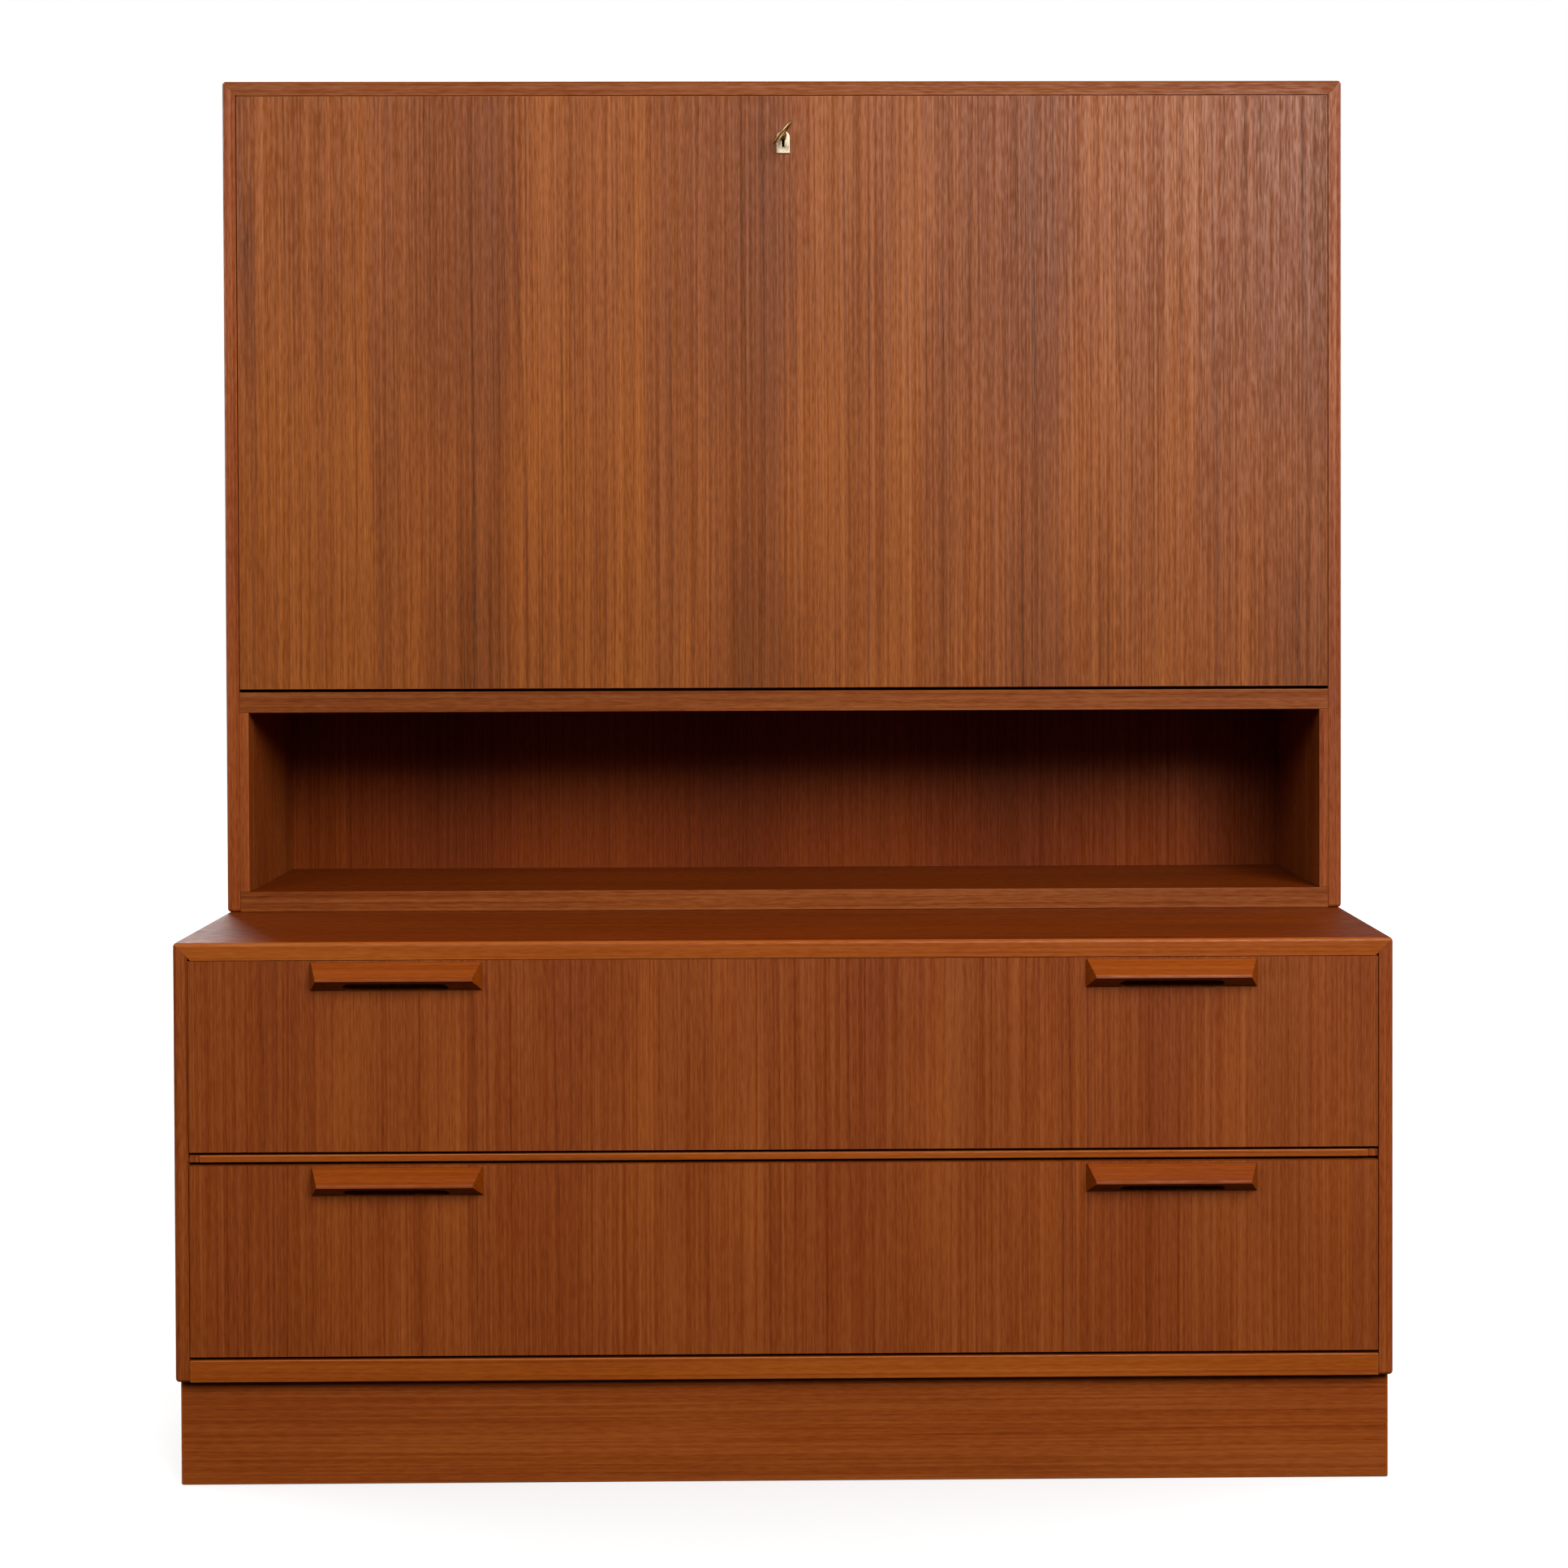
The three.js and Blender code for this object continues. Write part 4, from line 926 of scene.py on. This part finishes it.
# ---- Pivots and stays -----------------------------------------------------------------------
# Brass plates let into the flap's ends and the cabinet's sides turn on short pins. A slotted
# brass arm on each side slides over a shouldered stud and stops the flap when it is level.

FLUSH_SCREW = {"Head radius": 2.4 * MM, "Head height": 0.25 * MM, "Slot width": 0.7 * MM}
STUD_HEAD = {"Head radius": 4.6 * MM, "Head height": 0.8 * MM, "Slot width": 1.2 * MM}
FITTING_ROUNDING = 0.3 * MM
PIVOT_GAP = 0.8 * MM  # between the flap's plate and the cabinet's
PLATE_SCREWS_FROM_PIN = 21 * MM
PLATE_SCREW_INSET = 8 * MM
PLATE_SCREW_SPACING = 15 * MM
BRACKET_SCREW_INSET = 5 * MM
BRACKET_THICKNESS = 2 * MM

for side in ("left", "right"):
    for node in ("pivot_plate", "flap_plate", "stay_bracket", "stay_arm", "stay_stud"):
        board(f"{node}_{side}", brass, brass, "brass", FITTING_ROUNDING)

plate_screws = {"cabinet": [], "flap": []}
bracket_screws = []
stud_heads = []
for side, way in (("left", -1), ("right", 1)):
    low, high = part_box(f"flap_plate_{side}")
    middle = (low.y + high.y) / 2
    outer = way * max(abs(low.x), abs(high.x))
    rebate = outer + way * PIVOT_GAP
    for z in evenly(low.z + PLATE_SCREWS_FROM_PIN, high.z - PLATE_SCREW_INSET, PLATE_SCREW_SPACING):
        plate_screws["flap"].append(((outer, middle, z), (way, 0, 0)))
        plate_screws["cabinet"].append(((rebate, middle, z), (-way, 0, 0)))
    low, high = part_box(f"stay_bracket_{side}")
    inner = way * (min(abs(low.x), abs(high.x)) + BRACKET_SCREW_INSET)
    plate_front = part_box("flap_panel")[1].y + BRACKET_THICKNESS
    for rise in (-BRACKET_SCREW_INSET, BRACKET_SCREW_INSET):
        bracket_screws.append(((inner, plate_front, (low.z + high.z) / 2 + rise), TO_REAR))
    low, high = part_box(f"stay_stud_{side}")
    nearest = way * min(abs(low.x), abs(high.x))
    stud_heads.append(((nearest, (low.y + high.y) / 2, (low.z + high.z) / 2), (-way, 0, 0)))

for body, spots in plate_screws.items():
    fasten(f"{body}_pivot_screws", body, screw_heads, spots, FLUSH_SCREW, brass)
fasten("stay_bracket_screws", "flap", screw_heads, bracket_screws, SMALL_SCREW, brass)
fasten("stay_stud_heads", "cabinet", screw_heads, stud_heads, STUD_HEAD, brass)

# ---- Lock and key ---------------------------------------------------------------------------
# A steel lock is let into the flap's inner face. Its brass bolt rises through a strike plate in
# the top when the key turns. A small brass escutcheon with a round head guards the keyhole.

LOCK_ROUNDING = 0.2 * MM
ESCUTCHEON_ROUNDING = 0.5 * MM
CASE_SCREW_INSET_X = 5 * MM
CASE_SCREW_INSET_Z = 5.5 * MM
STRIKE_SCREW_INSET = 3.5 * MM
PIN_INSET = 1.9 * MM
KEYHOLE_DROP = 41.2 * MM  # from the flap's top edge
KEY_TILT = math.radians(38)
KEY_SHAFT_RADIUS = 2 * MM
BOW_HALF_LENGTH = 10 * MM
BOW_HALF_WIDTH = 15 * MM
BOW_RING = 3.6 * MM
BOW_THICKNESS = 2.6 * MM
BOW_OVERLAP = 1 * MM  # of the bow and the shaft's end, for the brazed joint
SHOULDER_FROM_FLAP = 20 * MM
BIT_WIDTH = 4.5 * MM
BIT_REACH = 8 * MM
BIT_THICKNESS = 1.8 * MM
NOTCH = (1.7 * MM, 2.8 * MM)  # its two sides, from the key's tip
NOTCH_DEPTH = 3 * MM

board("lock_case", steel, steel, "lock_steel", LOCK_ROUNDING)
board("lock_bolt", brass, brass, "brass", LOCK_ROUNDING)
board("lock_strike", brass, brass, "brass", LOCK_ROUNDING)
# Brass rubbed bright by hands and cloths: pale, with a clear shine.
bright_brass = metal("rubbed bright brass", "#e2cfb0", 0.24, 9 * MM)
board("escutcheon", bright_brass, bright_brass, "brass", ESCUTCHEON_ROUNDING)

low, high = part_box("lock_case")
case_screws = [
    ((x, high.y, z), TO_REAR)
    for x in (low.x + CASE_SCREW_INSET_X, high.x - CASE_SCREW_INSET_X)
    for z in (low.z + CASE_SCREW_INSET_Z, high.z - CASE_SCREW_INSET_Z)
]
fasten("lock_case_screws", "flap", screw_heads, case_screws, SMALL_SCREW, brass)
low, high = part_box("lock_strike")
strike_screws = [
    ((x, (low.y + high.y) / 2, low.z), DOWNWARDS)
    for x in (low.x + STRIKE_SCREW_INSET, high.x - STRIKE_SCREW_INSET)
]
fasten("strike_screws", "cabinet", screw_heads, strike_screws, FLUSH_SCREW, brass)

key_centre_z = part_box("flap_panel")[1].z - KEYHOLE_DROP
low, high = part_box("escutcheon")
PIN_IN_PLATE = {"Head radius": 0.8 * MM, "Head height": 0.3 * MM}
escutcheon_pins = [((0, low.y, z), TO_FRONT) for z in (low.z + PIN_INSET, high.z - PIN_INSET)]
fasten("escutcheon_pins", "flap", pin_heads, escutcheon_pins, PIN_IN_PLATE, brass)


def turned_part(profile, name):
    """A closed solid turned about the Y axis from (y, radius) points, from end to end."""
    bm = bmesh.new()
    steps = 32
    rings = []
    for y, radius in profile:
        angles = [2 * math.pi * i / steps for i in range(steps)]
        rings.append([bm.verts.new((radius * math.cos(a), y, radius * math.sin(a))) for a in angles])
    for ring, following in zip(rings, rings[1:]):
        for i in range(steps):
            j = (i + 1) % steps
            bm.faces.new((ring[i], ring[j], following[j], following[i]))
    bm.faces.new(rings[0])
    bm.faces.new(rings[-1])
    bmesh.ops.recalc_face_normals(bm, faces=bm.faces)
    return shown(name, mesh_from(bm, name))


def oval_bow(middle_y):
    """The key's bow: a ring of oval section bent into an oval, in the YZ plane."""
    bm = bmesh.new()
    around, section = 64, 14
    rings = []
    for i in range(around):
        a = 2 * math.pi * i / around
        ring = []
        for j in range(section):
            b = 2 * math.pi * j / section
            reach = BOW_RING / 2 * math.cos(b)
            y = middle_y + (BOW_HALF_LENGTH - BOW_RING / 2 + reach) * math.cos(a)
            z = (BOW_HALF_WIDTH - BOW_RING / 2 + reach) * math.sin(a)
            ring.append(bm.verts.new((BOW_THICKNESS / 2 * math.sin(b), y, z)))
        rings.append(ring)
    for i in range(around):
        for j in range(section):
            near, far = rings[i], rings[(i + 1) % around]
            k = (j + 1) % section
            bm.faces.new((near[j], near[k], far[k], far[j]))
    bmesh.ops.recalc_face_normals(bm, faces=bm.faces)
    return shown("bow", mesh_from(bm, "bow"))


flap_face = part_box("flap_panel")[0].y
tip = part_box("key")[1].y
shoulder = flap_face - SHOULDER_FROM_FLAP
# The shaft from its tip: a collar in front of the escutcheon, then the shoulder at the bow.
shaft = turned_part(
    [
        (tip, KEY_SHAFT_RADIUS - 0.4 * MM),
        (tip - 0.5 * MM, KEY_SHAFT_RADIUS),
        (flap_face - 3.4 * MM, KEY_SHAFT_RADIUS),
        (flap_face - 3.8 * MM, KEY_SHAFT_RADIUS + 0.9 * MM),
        (flap_face - 4.6 * MM, KEY_SHAFT_RADIUS + 0.9 * MM),
        (flap_face - 5.0 * MM, KEY_SHAFT_RADIUS),
        (shoulder + 4.4 * MM, KEY_SHAFT_RADIUS),
        (shoulder + 3.4 * MM, KEY_SHAFT_RADIUS + 1.4 * MM),
        (shoulder + 1.0 * MM, KEY_SHAFT_RADIUS + 1.2 * MM),
        (shoulder - 1.5 * MM, KEY_SHAFT_RADIUS - 0.2 * MM),
    ],
    "key_whole",
)
bit_rear = tip - BIT_WIDTH
bit_outline = [(bit_rear, -BIT_REACH), (tip, -BIT_REACH), (tip, 0), (bit_rear, 0)]
bit = shown("bit", prism(bit_outline, (-BIT_THICKNESS / 2, BIT_THICKNESS / 2), "bit"))
notch_front, notch_rear = tip - NOTCH[0], tip - NOTCH[1]
notch_top, below = NOTCH_DEPTH - BIT_REACH, -BIT_REACH - 1 * MM
notch_low = [(notch_rear, below), (notch_front, below)]
notch_outline = notch_low + [(notch_front, notch_top), (notch_rear, notch_top)]
notch = shown("notch", prism(notch_outline, (-BIT_THICKNESS, BIT_THICKNESS), "notch"))
boolean(bit, "DIFFERENCE", notch)
boolean(shaft, "UNION", bit)
boolean(shaft, "UNION", oval_bow(shoulder - BOW_HALF_LENGTH + BOW_OVERLAP))
tilt = Matrix.Translation((0, 0, key_centre_z)) @ Matrix.Rotation(KEY_TILT, 4, "Y")
shaft.data.transform(tilt)
shaft.data.materials.clear()
shaft.data.materials.append(brass)
shaft.data.shade_smooth()
round_edges(shaft, 0.15 * MM, 2, limit=50)
place(shaft, "key", "brass")
